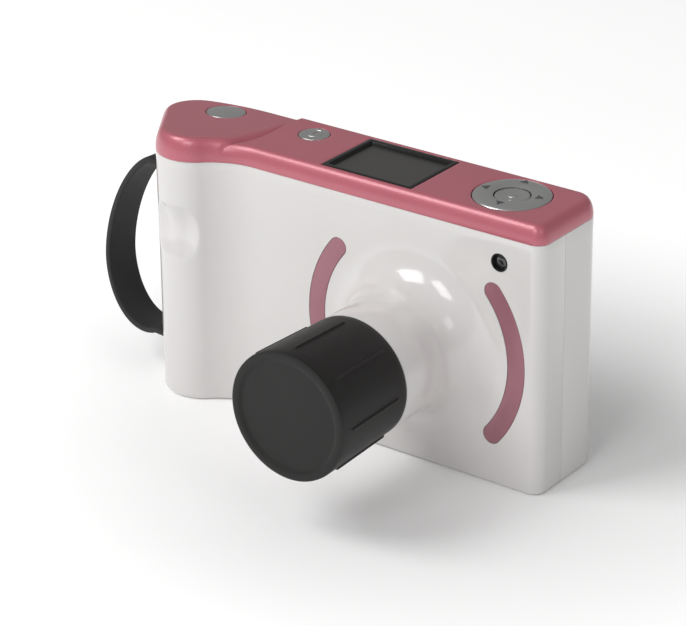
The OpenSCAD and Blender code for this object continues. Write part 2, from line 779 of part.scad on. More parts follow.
module battery_cells() {
    color([0.2, 0.35, 0.6]) placed() at_cells(cell_z) {
        cylinder(h = cell_len - 1.5, r = cell_r);
        translate([0, 0, cell_len - 2]) cylinder(h = 2, r = 3.5);
    }
}

module cell_holder(z, t, sink_from) {
    difference() {
        intersection() {
            translate([pack_at[0] - 19, pack_at[1] - 18, z]) cube([38, 36, t]);
            prism(wall, 0, seam_z);
        }
        at_cells(sink_from) cylinder(h = 6, r = cell_r);
    }
}

module battery_tray() {
    color([0.1, 0.1, 0.1]) placed() {
        cell_holder(cell_z - 3, 6, cell_z);
        translate([pack_at[0] - 2, pack_at[1] - 10, wall]) cube([14, 20, cell_z - 3 - wall]);
    }
}

module battery_cap() {
    color([0.1, 0.1, 0.1]) placed() difference() {
        cell_holder(cell_z + cell_len - 4.5, 6, cell_z + cell_len - 7.5);
        at_cells(cell_z + cell_len - 3) cylinder(h = 3.1, r = 3.5);
    }
}

module main_board() {
    color([0.1, 0.35, 0.2]) placed() difference() {
        translate([-110, 12, 34]) cube([46, pcb_t, 84]);
        for (x = [-106, -68], z = [38, 114]) rod_y([x, 10, z], 1.4, 6);
    }
}

module board_parts() {
    color([0.12, 0.12, 0.13]) placed() {
        top = 12 + pcb_t;
        translate([-98, top, 84]) cube([16, 1.6, 16]);
        translate([-100, top, 64]) cube([10, 2, 8]);
        translate([-78, top, 70]) cube([8, 10, 20]);
        for (i = [0:3]) rod_y([-100 + 9 * i, top, 48], 3.8, 14);
        translate([-104, top, 104]) cube([22, 6, 6]);
    }
}

module board_posts() {
    color([0.75, 0.7, 0.5]) placed() for (x = [-106, -68], z = [38, 114]) {
        rod_y([x, wall, z], 2.6, 12 - wall);
        rod_y([x, 12 - eps, z], 1.4, pcb_t + eps);
        rod_y([x, 12 + pcb_t, z], 2.6, 1.6);
    }
}

module charge_jack() {
    depth = 12;
    color([0.08, 0.08, 0.08]) placed() translate([jack_at[0], body_depth - wall, jack_at[1]]) difference() {
        union() {
            translate([-7, -depth, -6]) cube([14, depth, 12]);
            rod_y([0, -1, 0], 4.2, wall + 1 - 0.5);
        }
        difference() {
            rod_y([0, -9, 0], 2.75, 20);
            rod_y([0, -9.5, 0], 1, 9.5);
        }
    }
}

module housing_screws() {
    color([0.7, 0.7, 0.7]) placed() for (at = housing_screw_at) {
        rod_y([at[0], body_depth - 4, at[1]], 2.8, 2);
        rod_y([at[0], 10, at[1]], pin_r, body_depth - 13);
    }
}

front_housing();
rear_cover();
top_cover();
seam_gasket();
left_inlay();
right_inlay();
sensor_bezel();
sensor_lens();
display_bezel();
display_window();
lcd_panel();
exposure_button();
exposure_switch();
grip_board();
power_button();
power_switch();
nav_ring();
nav_gimbal();
nav_bracket();
select_button();
nav_switches();
key_board();
board_screws();
buzzer();
cone_tube();
cone_liner();
cone_window();
cone_screws();
cone_cap();
hand_strap();
strap_anchors();
strap_pins();
tank_body();
tank_lid();
tank_screws();
tank_standoffs();
lead_shield();
beam_window();
beam_filter();
collimator();
tube_glass();
anode();
target();
cathode();
tube_cradles();
transformer_core();
transformer_winding();
multiplier_board();
battery_cells();
battery_tray();
battery_cap();
main_board();
board_parts();
board_posts();
charge_jack();
housing_screws();
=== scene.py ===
"""Handheld intraoral x-ray unit: the visual model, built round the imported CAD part.

Plan frame used below, in millimetres: x from the beam axis, y from the body's front face (back is +),
z from the base.
"""

import json
import math

import bmesh
import bpy
import numpy as np
from mathutils import Matrix, Vector
from mathutils.geometry import delaunay_2d_cdt


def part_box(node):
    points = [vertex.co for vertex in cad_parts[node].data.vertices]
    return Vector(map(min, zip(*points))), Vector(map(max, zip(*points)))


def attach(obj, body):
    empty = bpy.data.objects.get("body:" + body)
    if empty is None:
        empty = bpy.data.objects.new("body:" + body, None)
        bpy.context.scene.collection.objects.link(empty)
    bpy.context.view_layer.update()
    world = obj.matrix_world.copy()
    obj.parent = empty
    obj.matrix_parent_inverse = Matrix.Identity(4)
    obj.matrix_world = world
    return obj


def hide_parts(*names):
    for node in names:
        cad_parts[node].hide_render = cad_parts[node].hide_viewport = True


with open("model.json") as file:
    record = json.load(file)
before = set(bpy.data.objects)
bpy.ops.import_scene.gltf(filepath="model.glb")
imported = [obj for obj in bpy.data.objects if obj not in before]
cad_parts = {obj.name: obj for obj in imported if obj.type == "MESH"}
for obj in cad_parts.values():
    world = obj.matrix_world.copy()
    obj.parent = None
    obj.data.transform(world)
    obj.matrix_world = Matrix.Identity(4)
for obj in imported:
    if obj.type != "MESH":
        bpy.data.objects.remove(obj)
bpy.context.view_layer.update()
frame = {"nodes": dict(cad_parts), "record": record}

MM = 0.001
BODY_DEPTH = 55.0
ORIGIN = np.array([
    (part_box("cone_tube")[0].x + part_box("cone_tube")[1].x) / 2,
    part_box("rear_cover")[1].y - BODY_DEPTH * MM,
    0.0,
])

# Driving sizes of the housing, as the CAD has them
WALL = 2.5
SPLIT_Y = 21.5
SEAM_Z = 138.0
COVER_H = 9.8
COVER_REACH = 5.0
PLATEAU = SEAM_Z + COVER_H
PAD_H = 11.8
PAD_FALL = 0.076
PAD_TILT = math.atan(PAD_FALL)
BASE_ROUND = 2.5
LIP = 0.3
LIP_ROUND = ((0, LIP), (LIP * 0.3, LIP * 0.3), (LIP, 0))
SEAM_GAP = 0.02
AXIS_Z = 67.8
NECK_R = 32.2
FLARE_R = 22.0
NECK_LEN = 50.6
TUBE_R = 30.05
CAP_REAR = 50.9
CAP_FRONT = 105.7
CAP_REAR_R = 32.3
CAP_FRONT_R = 34.2

# Plan outline: arcs as (centre x, centre y, radius)
RIGHT_X = 76.2
FRONT_RIGHT = (69.2, 7.0, 7.0)
BACK_RIGHT = (64.2, 43.0, 12.0)
BACK_SWEEP = (-131.0, -75.0, 130.0)
SWEEP_A = 107.0
BACK_LEFT = (
    BACK_SWEEP[0] + 110 * math.cos(math.radians(SWEEP_A)),
    BACK_SWEEP[1] + 110 * math.sin(math.radians(SWEEP_A)),
    20.0,
)
BULGE = (-144.3, 5.7, 22.0)
NECK_DX = math.sqrt(62.0**2 - (40.0 + BULGE[1]) ** 2)
GRIP_NECK = (BULGE[0] + NECK_DX, -40.0, 40.0)
NECK_A = math.degrees(math.atan2(BULGE[1] + 40.0, -NECK_DX))
TO_BULGE = (BULGE[0] - BACK_LEFT[0], BULGE[1] - BACK_LEFT[1])
SIDE_A = math.degrees(math.atan2(TO_BULGE[1], TO_BULGE[0])) + 270 - math.degrees(
    math.asin(2.0 / math.hypot(*TO_BULGE))
)

# Controls, at their places on the panel
EXPOSE_AT = (-149.3, 36.3)
EXPOSE_R = 10.6
POWER_AT = (-90.1, 36.3)
POWER_R = 8.3
RING_AT = (39.7, 28.5)
RING_R = 20.1
SELECT_R = 9.0
RING_IN, RING_CROWN = SELECT_R + 0.6, 10.5
RING_MID = (RING_IN + RING_R) / 2
KEY_SINK = 3.8
DISPLAY_AT = (-34.1, 26.8)
DISPLAY_SIZE = (56.6, 43.4)
DISPLAY_BORDER, DISPLAY_SINK = 2.7, 1.7
SENSOR_AT = (51.5, 124.2)
SENSOR_R = 4.8
INLAY_IN, INLAY_OUT, INLAY_A = 56.9, 67.4, 39.5
INLAY_DEPTH = 1.05


# ---------------------------------------------------------------- mesh helpers
def to_world(points):
    """Plan-frame millimetres to metres in the part's frame."""
    return np.asarray(points, float) * MM + ORIGIN


class Patches:
    """Vertices and faces of one piece, gathered patch by patch in plan-frame millimetres."""

    def __init__(self):
        self.verts = []
        self.faces = []

    def add(self, points):
        start = len(self.verts)
        self.verts.extend([tuple(p) for p in np.asarray(points, float)])
        return list(range(start, len(self.verts)))

    def face(self, points):
        self.faces.append(self.add(points))

    def grid(self, rows, closed=False, skip=None):
        """Quads between equally long rows of points. skip(row, column) leaves a quad out."""
        ids = [self.add(r) for r in rows]
        count = len(ids[0])
        for r in range(len(ids) - 1):
            for c in range(count if closed else count - 1):
                if skip and skip(r, c):
                    continue
                d = (c + 1) % count
                self.faces.append([ids[r][c], ids[r][d], ids[r + 1][d], ids[r + 1][c]])

    def mesh(self, name, matrix=None):
        points = np.asarray(self.verts, float)
        if matrix is not None:
            points = points @ np.array(matrix.to_3x3()).T + np.array(matrix.translation)
        mesh = bpy.data.meshes.new(name)
        mesh.from_pydata([tuple(p) for p in to_world(points)], [], self.faces)
        bm = bmesh.new()
        bm.from_mesh(mesh)
        bmesh.ops.remove_doubles(bm, verts=bm.verts, dist=2e-6)
        bmesh.ops.dissolve_degenerate(bm, edges=bm.edges, dist=1e-7)
        bmesh.ops.recalc_face_normals(bm, faces=bm.faces)
        bm.to_mesh(mesh)
        bm.free()
        return mesh


def new_object(name, mesh):
    piece = bpy.data.objects.new(name, mesh)
    bpy.context.scene.collection.objects.link(piece)
    return piece


def apply_modifiers(piece):
    """Gives the piece the mesh that its modifiers make."""
    bpy.context.view_layer.update()
    graph = bpy.context.evaluated_depsgraph_get()
    mesh = bpy.data.meshes.new_from_object(piece.evaluated_get(graph))
    piece.modifiers.clear()
    piece.data = mesh


def cut(piece, cutters):
    """Takes each closed cutter mesh away from the piece."""
    for mesh in cutters:
        tool = new_object("cutter", mesh)
        modifier = piece.modifiers.new("cut", "BOOLEAN")
        modifier.operation = "DIFFERENCE"
        modifier.solver = "EXACT"
        modifier.object = tool
        apply_modifiers(piece)
        bpy.data.objects.remove(tool)


def finish_piece(piece, material, body="housing", replaces=(), sharp=32):
    """Gives the piece its material and shading, its body, and the CAD nodes that it stands for."""
    piece.data.materials.clear()
    piece.data.materials.append(material)
    for polygon in piece.data.polygons:
        polygon.material_index = 0
        polygon.use_smooth = True
    piece.data.set_sharp_from_angle(angle=math.radians(sharp))
    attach(piece, body)
    if replaces:
        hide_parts(*replaces)


def arc(shape, inset, start, end, steps):
    """Points along an arc (centre x, centre y, radius) whose radius shrinks by inset."""
    a = np.radians(np.linspace(start, end, steps + 1))
    r = shape[2] - inset
    return np.stack([shape[0] + r * np.cos(a), shape[1] + r * np.sin(a)], axis=1)


def circle(at, r, count):
    a = np.linspace(0, 2 * np.pi, count, endpoint=False)
    return np.stack([at[0] + r * np.cos(a), at[1] + r * np.sin(a)], axis=1)


def rounded_rect(at, size, r, steps=6):
    """Rectangle with round corners, anticlockwise."""
    hx, hy = size[0] / 2 - r, size[1] / 2 - r
    corners = [(hx, hy, 0), (-hx, hy, 90), (-hx, -hy, 180), (hx, -hy, 270)]
    parts = [arc((at[0] + x, at[1] + y, r), 0, a, a + 90, steps) for x, y, a in corners]
    return np.concatenate(parts)


def lift(loop, z):
    """Plan loop raised to height z."""
    loop = np.asarray(loop, float)
    return np.column_stack([loop, np.full(len(loop), 0.0) + z])


def lathe(profile, segments, place=None, name="lathe"):
    """Solid of revolution about +Z from (radius, height) points. The profile starts and ends on the axis,
    or is a closed loop."""
    patches = Patches()
    on_axis = profile[0][0] == 0
    a = np.linspace(0, 2 * np.pi, segments, endpoint=False)
    rings = [np.stack([r * np.cos(a), r * np.sin(a), 0 * a + h], axis=1) for r, h in profile]
    if on_axis:
        for tip, ring in ((profile[0], rings[1]), (profile[-1], rings[-2])):
            centre = patches.add([(0, 0, tip[1])])[0]
            ids = patches.add(ring)
            for i in range(segments):
                patches.faces.append([centre, ids[i], ids[(i + 1) % segments]])
        patches.grid(rings[1:-1], closed=True)
    else:
        patches.grid(rings + rings[:1], closed=True)
    return patches.mesh(name, place)


def drill(r, depth, place, segments, above=2):
    """Closed round cutter from a depth below the frame's face to just above it."""
    return lathe([(0, -depth), (r, -depth), (r, above), (0, above)], segments, place)


def along_beam(y, x=0.0, z=AXIS_Z):
    """Frame whose +Z points out of the front face, along the beam, from depth y."""
    return Matrix.Translation((x, y, z)) @ Matrix.Rotation(math.radians(90), 4, "X")


def smooth_step(t):
    t = np.clip(t, 0, 1)
    return t * t * (3 - 2 * t)


def rounding(r, steps=4):
    """Quarter-round profile from (r, 0) to (0, r): how far in from the side and down from the top."""
    a = np.radians(np.linspace(0, 90, steps + 1))
    return [(r * (1 - math.cos(t)), r * (1 - math.sin(t))) for t in a]


# ---------------------------------------------------------------- white housing
def side_point(side, inset, y):
    """Point of the outline at depth y on the right face or on the grip's left end."""
    if side == "right":
        return [RIGHT_X - inset, y]
    r = BACK_LEFT[2] - inset
    return [BACK_LEFT[0] - math.sqrt(r * r - (y - BACK_LEFT[1]) ** 2), y]


def side_lip(side, inset, towards):
    """Small round on the parting line; towards is -1 on the front half and 1 on the rear half."""
    return [
        side_point(side, inset + more, SPLIT_Y + towards * back)
        for more, back in ((LIP, SEAM_GAP), (LIP * 0.3, LIP * 0.3), (0, LIP))
    ]


def clip_angle(inset, y):
    """Angle at which the grip's left end meets depth y."""
    r = BACK_LEFT[2] - inset
    return 180 + math.degrees(math.asin((BACK_LEFT[1] - y) / r))


SQUARE = 60.0  # half the square round the neck where the face turns into rings
FACE_DEPTH = 4.0
SQUARE_X = np.linspace(-SQUARE, SQUARE, 25)
FRONT_X = np.concatenate([[-95, -86, -77, -68], SQUARE_X, [64.5]])


def front_chain(inset):
    start = clip_angle(inset, SPLIT_Y - LIP)
    straight = np.column_stack([FRONT_X, np.full(len(FRONT_X), inset)])
    return np.concatenate([
        side_lip("left", inset, -1),
        arc(BACK_LEFT, inset, start, SIDE_A, 5)[1:],
        arc(BULGE, inset, SIDE_A, 180 + NECK_A, 52)[1:],
        arc(GRIP_NECK, -inset, NECK_A, 90, 30)[1:],
        straight,
        arc(FRONT_RIGHT, inset, 270, 360, 10),
        side_lip("right", inset, -1)[::-1],
    ])


def rear_chain(inset):
    end = clip_angle(inset, SPLIT_Y + LIP)
    back = np.column_stack([np.linspace(40, -100, 15), np.full(15, BODY_DEPTH - inset)])
    return np.concatenate([
        side_lip("right", inset, 1),
        arc(BACK_RIGHT, inset, 0, 90, 14),
        back,
        arc(BACK_SWEEP, inset, 90, SWEEP_A, 14),
        arc(BACK_LEFT, inset, SWEEP_A, end, 36)[1:-1],
        side_lip("left", inset, 1)[::-1],
    ])


SCOOP_Z = 97.5
SCOOP_R = 28.0
SCOOP_DEPTH = 4.2
SCOOP_FROM, SCOOP_TO = 250.0, 281.0
SCOOP_SPAN = (75, 120)
SCOOP_CRISP, SCOOP_SOFTER, SCOOP_FADE = 0.12, 0.5, 10
SCOOP_NEAR, SCOOP_BACK, SCOOP_TRIM = 4, 12, 0.03


def scooped(points, grow):
    """Wall points pushed into the grip where the finger scoop is: a torus with ball ends, its top edge
    crisper than its bottom edge. The inner skin grows the torus, which keeps the wall's thickness."""
    p = np.array(points, float)
    dx, dy = p[:, 0] - BULGE[0], p[:, 1] - BULGE[1]
    path_r = BULGE[2] + SCOOP_R - SCOOP_DEPTH
    a = np.radians(np.clip(np.degrees(np.arctan2(dy, dx)) % 360, SCOOP_FROM, SCOOP_TO))
    gap = np.sqrt((dx - path_r * np.cos(a)) ** 2 + (dy - path_r * np.sin(a)) ** 2 + (p[:, 2] - SCOOP_Z) ** 2)
    within = SCOOP_R + grow - gap
    edge = SCOOP_CRISP + SCOOP_SOFTER * smooth_step((SCOOP_Z - p[:, 2]) / SCOOP_FADE)
    depth = 0.5 * (within + np.sqrt(within**2 + edge**2))
    depth = np.where((within > -SCOOP_NEAR) & (dy < SCOOP_BACK), depth - SCOOP_TRIM * edge, 0)
    depth = np.clip(depth, 0, None)
    length = np.hypot(dx, dy)
    p[:, 0] -= dx / length * depth
    p[:, 1] -= dy / length * depth
    return p


def wall_rows(heights, chain, inset, top, scoop):
    """Rows of the wall from the base's round up to the lip under the top cover."""
    rows = []
    if inset == 0:
        for reach, rise in rounding(BASE_ROUND, 6)[::-1]:
            rows.append(lift(chain(reach), rise))
    for z in heights:
        row = lift(chain(inset), z)
        rows.append(scooped(row, inset) if scoop and SCOOP_SPAN[0] < z < SCOOP_SPAN[1] else row)
    if inset == 0:
        for more, drop in LIP_ROUND:
            rows.append(lift(chain(more), top - drop))
    else:
        rows.append(lift(chain(inset), top))
    return rows


def polar(angle, r, y):
    """Ring round the beam axis at depth y."""
    return np.stack([r * np.cos(angle), 0 * angle + y, AXIS_Z + r * np.sin(angle)], axis=1)


def square_to_ring(heights, y):
    """Boundary of the square opening in the front wall, and its angles round the beam axis."""
    z = np.asarray([h for h in heights if AXIS_Z - SQUARE - 0.01 <= h <= AXIS_Z + SQUARE + 0.01])
    x = SQUARE_X
    loop = np.concatenate([
        np.stack([x, 0 * x + y, 0 * x + z[0]], axis=1)[:-1],
        np.stack([0 * z + SQUARE, 0 * z + y, z], axis=1)[:-1],
        np.stack([x[::-1], 0 * x + y, 0 * x + z[-1]], axis=1)[:-1],
        np.stack([0 * z - SQUARE, 0 * z + y, z[::-1]], axis=1)[:-1],
    ])
    return loop, np.arctan2(loop[:, 2] - AXIS_Z, loop[:, 0])


def in_square(rows):
    """Test for the front wall's quads that give way to the rings round the neck."""
    def test(r, c):
        a, b = rows[r][c], rows[r + 1][c + 1]
        x, z = (a[0] + b[0]) / 2, (a[2] + b[2]) / 2
        return abs(x) < SQUARE and AXIS_Z - SQUARE < z < AXIS_Z + SQUARE and a[1] < FACE_DEPTH
    return test


def neck_profile():
    """(radius, depth) points down the outside of the flared neck, round its rim and up the inside."""
    ring_r = NECK_R + FLARE_R
    outside = [(ring_r - FLARE_R * math.sin(q), -(FLARE_R - FLARE_R * math.cos(q)))
               for q in np.radians(np.linspace(0, 90, 19))]
    rim = [(NECK_R, -30), (NECK_R, -NECK_LEN + 0.4), (NECK_R - 0.12, -NECK_LEN + 0.12),
           (NECK_R - 0.4, -NECK_LEN), (TUBE_R + 0.3, -NECK_LEN), (TUBE_R, -NECK_LEN + 0.3)]
    thick = FLARE_R + WALL
    meet = math.acos((ring_r - TUBE_R) / thick)
    inner = [(ring_r - thick * math.cos(q), -(FLARE_R - thick * math.sin(q)))
             for q in np.linspace(meet, math.radians(90), 12)]
    return outside + rim + inner


def neck_rings(heights):
    """Rings from the square in the outer skin, over the neck, to the square in the inner skin."""
    loop, angle = square_to_ring(heights, 0.0)
    ring_r = NECK_R + FLARE_R
    inner_loop = loop + np.array([0, WALL, 0])
    outer_face = [loop + (polar(angle, ring_r, 0.0) - loop) * f for f in (0, 0.4, 0.8)]
    inner_face = [inner_loop + (polar(angle, ring_r, WALL) - inner_loop) * f for f in (0.6, 0)]
    return outer_face + [polar(angle, r, y) for r, y in neck_profile()] + inner_face


def housing_half(chain, heights, name, flared):
    """Closed half of the white housing: outer skin, inner skin, rim, cut faces and base."""
    patches = Patches()
    top = SEAM_Z - SEAM_GAP
    outer = wall_rows(heights, chain, 0, top, flared)
    inner = wall_rows([WALL, *heights], chain, WALL, top, flared)
    patches.grid(outer, skip=in_square(outer) if flared else None)
    patches.grid(inner, skip=in_square(inner) if flared else None)
    patches.grid([outer[-1], inner[-1]])
    patches.face(outer[0])
    patches.face(inner[0])
    left = [r[0] for r in outer] + [r[0] for r in inner[::-1]]
    right = [r[-1] for r in inner] + [r[-1] for r in outer[::-1]]
    patches.face(left + right)
    if flared:
        patches.grid(neck_rings(heights), closed=True)
    return new_object(name, patches.mesh(name))


def box_mesh(low, high, matrix=None):
    patches = Patches()
    (x0, y0, z0), (x1, y1, z1) = low, high
    base = [(x0, y0), (x1, y0), (x1, y1), (x0, y1)]
    patches.grid([lift(base, z0), lift(base, z1)], closed=True)
    patches.face(lift(base, z0))
    patches.face(lift(base, z1))
    return patches.mesh("box", matrix)


def inlay_loop(grow):
    """Arc band with round ends on the right of the beam axis, as (across, up) points."""
    mid, half = (INLAY_IN + INLAY_OUT) / 2, (INLAY_OUT - INLAY_IN) / 2
    parts = [arc((0, 0, INLAY_OUT), -grow, -INLAY_A, INLAY_A, 40)[:-1]]
    for a, start in ((INLAY_A, INLAY_A), (-INLAY_A, 180 - INLAY_A)):
        end = (mid * math.cos(math.radians(a)), mid * math.sin(math.radians(a)), half)
        parts.append(arc(end, -grow, start, start + 180, 16)[:-1])
        if a > 0:
            parts.append(arc((0, 0, INLAY_IN), grow, INLAY_A, -INLAY_A, 40)[:-1])
    return np.concatenate(parts)


def inlay_mesh(side, layers, name):
    """Closed band through (grow, depth) layers, from the back to the front."""
    patches = Patches()
    rows = []
    for grow, y in layers:
        loop = inlay_loop(grow)
        rows.append(np.stack([side * loop[:, 0], 0 * loop[:, 0] + y, AXIS_Z + loop[:, 1]], axis=1))
    patches.grid(rows, closed=True)
    patches.face(rows[0])
    patches.face(rows[-1])
    return patches.mesh(name)


STRAP_AT = (-165.1, 8.9, 75.0)
STRAP_TURN = 173.0
STRAP_HALF, STRAP_BOW, STRAP_SAG, STRAP_CURVE = 51.8, 37.6, 17.4, 1.85
STRAP_T, STRAP_W, TONGUE = 3.5, 20.0, 9.0
SLOT_GAP, SLOT_TAIL, SLOT_SIDE = 0.9, 5.0, 2.0
STRAP_FRAME = Matrix.Translation(STRAP_AT) @ Matrix.Rotation(math.radians(STRAP_TURN), 4, "Z")
HOUSING_SCREWS = [(66, 10), (66, 128), (-66, 10), (-66, 128), (-122, 12), (-122, 124)]
SCREW_HOLE_R = 3
JACK_AT = (-88, 20)
JACK_R = 4.3
BACK_HOLE_DEPTH = 8


def strap_line(depth, steps=110):
    """Side view of the loop at a depth inside its outer face: out of the grip, and up."""
    a = np.radians(np.linspace(-90, 90, steps + 1))
    out = np.maximum(np.cos(a), 0) ** (2 / STRAP_CURVE)
    up = np.sign(a) * np.abs(np.sin(a)) ** (2 / STRAP_CURVE)
    return np.stack([TONGUE + (STRAP_BOW - depth) * out, (STRAP_HALF - depth) * up - STRAP_SAG * out], axis=1)


def strap_slots():
    """Cutter for the grip's wall: the strap's own shape grown by a gap."""
    half_w = STRAP_W / 2 + SLOT_SIDE
    outer, inner = strap_line(-SLOT_GAP, 40), strap_line(STRAP_T + SLOT_GAP, 40)
    side = np.concatenate([[(-SLOT_TAIL, outer[0, 1])], outer, [(-SLOT_TAIL, outer[-1, 1])],
                           [(-SLOT_TAIL, inner[-1, 1])], inner[::-1], [(-SLOT_TAIL, inner[0, 1])]])
    patches = Patches()
    rows = [np.stack([side[:, 0], 0 * side[:, 0] + w, side[:, 1]], axis=1) for w in (-half_w, half_w)]
    patches.grid(rows, closed=True)
    patches.face(rows[0])
    patches.face(rows[1])
    return patches.mesh("slots", STRAP_FRAME)


def back_frame(x, z, y):
    """Frame whose +Z points out of the back."""
    return Matrix.Translation((x, y, z)) @ Matrix.Rotation(math.radians(-90), 4, "X")


def make_housing(white):
    base = AXIS_Z - SQUARE
    scoop_heights = np.linspace(79, 116, 46)
    heights = [*np.linspace(base, 77.8, 15), *scoop_heights, 119, 123, AXIS_Z + SQUARE, 133]
    front = housing_half(front_chain, heights, "front_shell", True)
    sensor = drill(SENSOR_R + 0.1, WALL + 2, along_beam(0, *SENSOR_AT), 48)
    recesses = [inlay_mesh(side, [(0, INLAY_DEPTH), (0, -1)], "recess") for side in (-1, 1)]
    cut(front, [sensor, *recesses, strap_slots()])
    finish_piece(front, white, replaces=["front_housing"])
    rear = housing_half(rear_chain, [base, 40, 70, 100, 130], "rear_shell", False)
    holes = [
        drill(SCREW_HOLE_R, BACK_HOLE_DEPTH, back_frame(x, z, BODY_DEPTH), 32) for x, z in HOUSING_SCREWS
    ]
    jack = drill(JACK_R, BACK_HOLE_DEPTH, back_frame(*JACK_AT, BODY_DEPTH), 40)
    cut(rear, [*holes, jack, strap_slots()])
    finish_piece(rear, white, replaces=["rear_cover"])


# ---------------------------------------------------------------- rose top cover
CREASE_POINTS = [(-128, -16), (-122.5, -7), (-118.0, 1), (-113.8, 8), (-111.8, 16), (-111.3, 26),
                 (-112.0, 34), (-112.3, 42), (-111.2, 48), (-109.0, 58)]
CREASE_Y = np.arange(-20, 62, 0.5)
CREASE_BLUR = 5
FINE_X = -98  # the cover's mesh is fine left of here
VALLEY = 2.0
STEP_W = 1.5
ROLL_FRONT, ROLL_BACK = 9.5, 4.0
SOFT_SHARE = 0.38
RIM_EDGE = 0.45
LINING_REACH = COVER_REACH - 1
CREASE_LINES = [-6.4, -5.4, -4.6, -3.8, -3.0, -2.2, -1.5, -0.9, -0.4, 0, 0.35, 0.75, 1.5, 2.4]
WEDGE_Y = [-6, 3.9, 10, 15, 26, 37, 43]
WEDGE = [1.2, 2.4, 4.8, 4.6, 4.2, 2.4, 1.4]


def crease_line():
    """The crease's x at each of CREASE_Y, with the corners between its points blurred."""
    x = np.interp(CREASE_Y, [p[1] for p in CREASE_POINTS], [p[0] for p in CREASE_POINTS])
    window = 2 * CREASE_BLUR + 1
    return np.convolve(np.pad(x, CREASE_BLUR, mode="edge"), np.ones(window) / window, mode="valid")


CREASE_X = crease_line()


def crease_at(y):
    return np.interp(y, CREASE_Y, CREASE_X)


def cover_top(x, y):
    """Height of the cover away from its rounded edge: flat panel, grip pad, and the crease between them."""
    x, y = np.asarray(x, float), np.asarray(y, float)
    crease = crease_at(y)
    roll = ROLL_FRONT - (ROLL_FRONT - ROLL_BACK) * smooth_step((y - 12) / 18)
    wedge = np.interp(y, WEDGE_Y, WEDGE)
    pad = SEAM_Z + PAD_H - PAD_FALL * y
    valley = PLATEAU - VALLEY * smooth_step((y + 6) / 16) * (1 - 0.45 * smooth_step((y - 36) / 14))
    valley = np.minimum(valley, pad - 0.15)
    away = crease - x
    soft = np.clip(1 - away / roll, 0, 1) ** 2.4
    steep = np.clip(1 - away / wedge, 0, 1) ** 1.6
    pad_side = pad - (pad - valley) * (SOFT_SHARE * soft + (1 - SOFT_SHARE) * steep)
    p = np.clip((x - crease) / STEP_W, 0, 1)
    panel_side = valley + (PLATEAU - valley) * (1 - (1 - p) ** 2)
    return np.where(x < crease, pad_side, panel_side)


def cover_loop(inset):
    """Closed outline of the cover, anticlockwise from the front left of the panel."""
    front = np.column_stack([np.linspace(-97, 64, 60), np.full(60, inset)])
    back_x = np.concatenate([
        np.linspace(58, -102, 55)[:-1], np.linspace(-102, -120, 40)[:-1], [-120, -124, -128],
    ])
    back = np.column_stack([back_x, np.full(len(back_x), BODY_DEPTH - inset)])
    right = np.column_stack([np.full(10, RIGHT_X - inset), np.linspace(10, 40, 10)])
    return np.concatenate([
        front,
        arc(FRONT_RIGHT, inset, 270, 360, 12),
        right,
        arc(BACK_RIGHT, inset, 0, 90, 18),
        back,
        arc(BACK_SWEEP, inset, 90, SWEEP_A, 28),
        arc(BACK_LEFT, inset, SWEEP_A, SIDE_A, 36)[1:],
        arc(BULGE, inset, SIDE_A, 180 + NECK_A, 44)[1:],
        arc(GRIP_NECK, -inset, NECK_A, 90, 40)[1:],
    ])


def cover_holes(grow):
    """Openings for the exposure button, power button, ring and display."""
    return [
        circle(EXPOSE_AT, EXPOSE_R + 0.35 + grow, 72),
        circle(POWER_AT, POWER_R + 0.3 + grow, 60),
        circle(RING_AT, RING_R + 0.45 + grow, 96),
        rounded_rect(DISPLAY_AT, (DISPLAY_SIZE[0] + 2 * grow, DISPLAY_SIZE[1] + 2 * grow), 0.8 + grow),
    ]


def inside(loop, points):
    """Which points lie inside a closed loop."""
    x, y = points[:, 0], points[:, 1]
    result = np.zeros(len(points), bool)
    for (x0, y0), (x1, y1) in zip(loop, np.roll(loop, -1, axis=0)):
        crosses = (y0 > y) != (y1 > y)
        with np.errstate(divide="ignore", invalid="ignore"):
            at = (x1 - x0) * (y - y0) / (y1 - y0) + x0
        result ^= crosses & (x < at)
    return result


def near(loop, points, gap):
    """Which points lie closer than gap to the loop's own points."""
    far = np.ones(len(points), bool)
    for q in loop:
        far &= ((points - q) ** 2).sum(axis=1) > gap**2
    return ~far


def lattice(x0, x1, y0, y1, spacing):
    return np.stack(np.meshgrid(np.arange(x0, x1, spacing), np.arange(y0, y1, spacing)), -1).reshape(-1, 2)


def inner_points(outer, holes, spacing):
    """Mesh points within the cover's outline: a lattice, and lines that follow the crease."""
    (x0, y0), (x1, y1) = outer.min(axis=0), outer.max(axis=0)
    coarse = lattice(x0, x1, y0, y1, 4.0)
    grid = np.concatenate([coarse[coarse[:, 0] > FINE_X], lattice(x0, FINE_X, y0, y1, spacing)])
    off = grid[:, 0] - crease_at(grid[:, 1])
    grid = grid[(off < CREASE_LINES[0] - 0.6) | (off > CREASE_LINES[-1] + 0.6)]
    along = np.arange(y0 + 0.4, y1, 0.9)
    lines = [np.column_stack([crease_at(along) + line, along]) for line in CREASE_LINES]
    points = np.concatenate([grid, *lines])
    keep = inside(outer, points) & ~near(outer, points, 0.35)
    for hole in holes:
        keep &= ~inside(hole, points) & ~near(hole, points, 0.5)
    return points[keep]


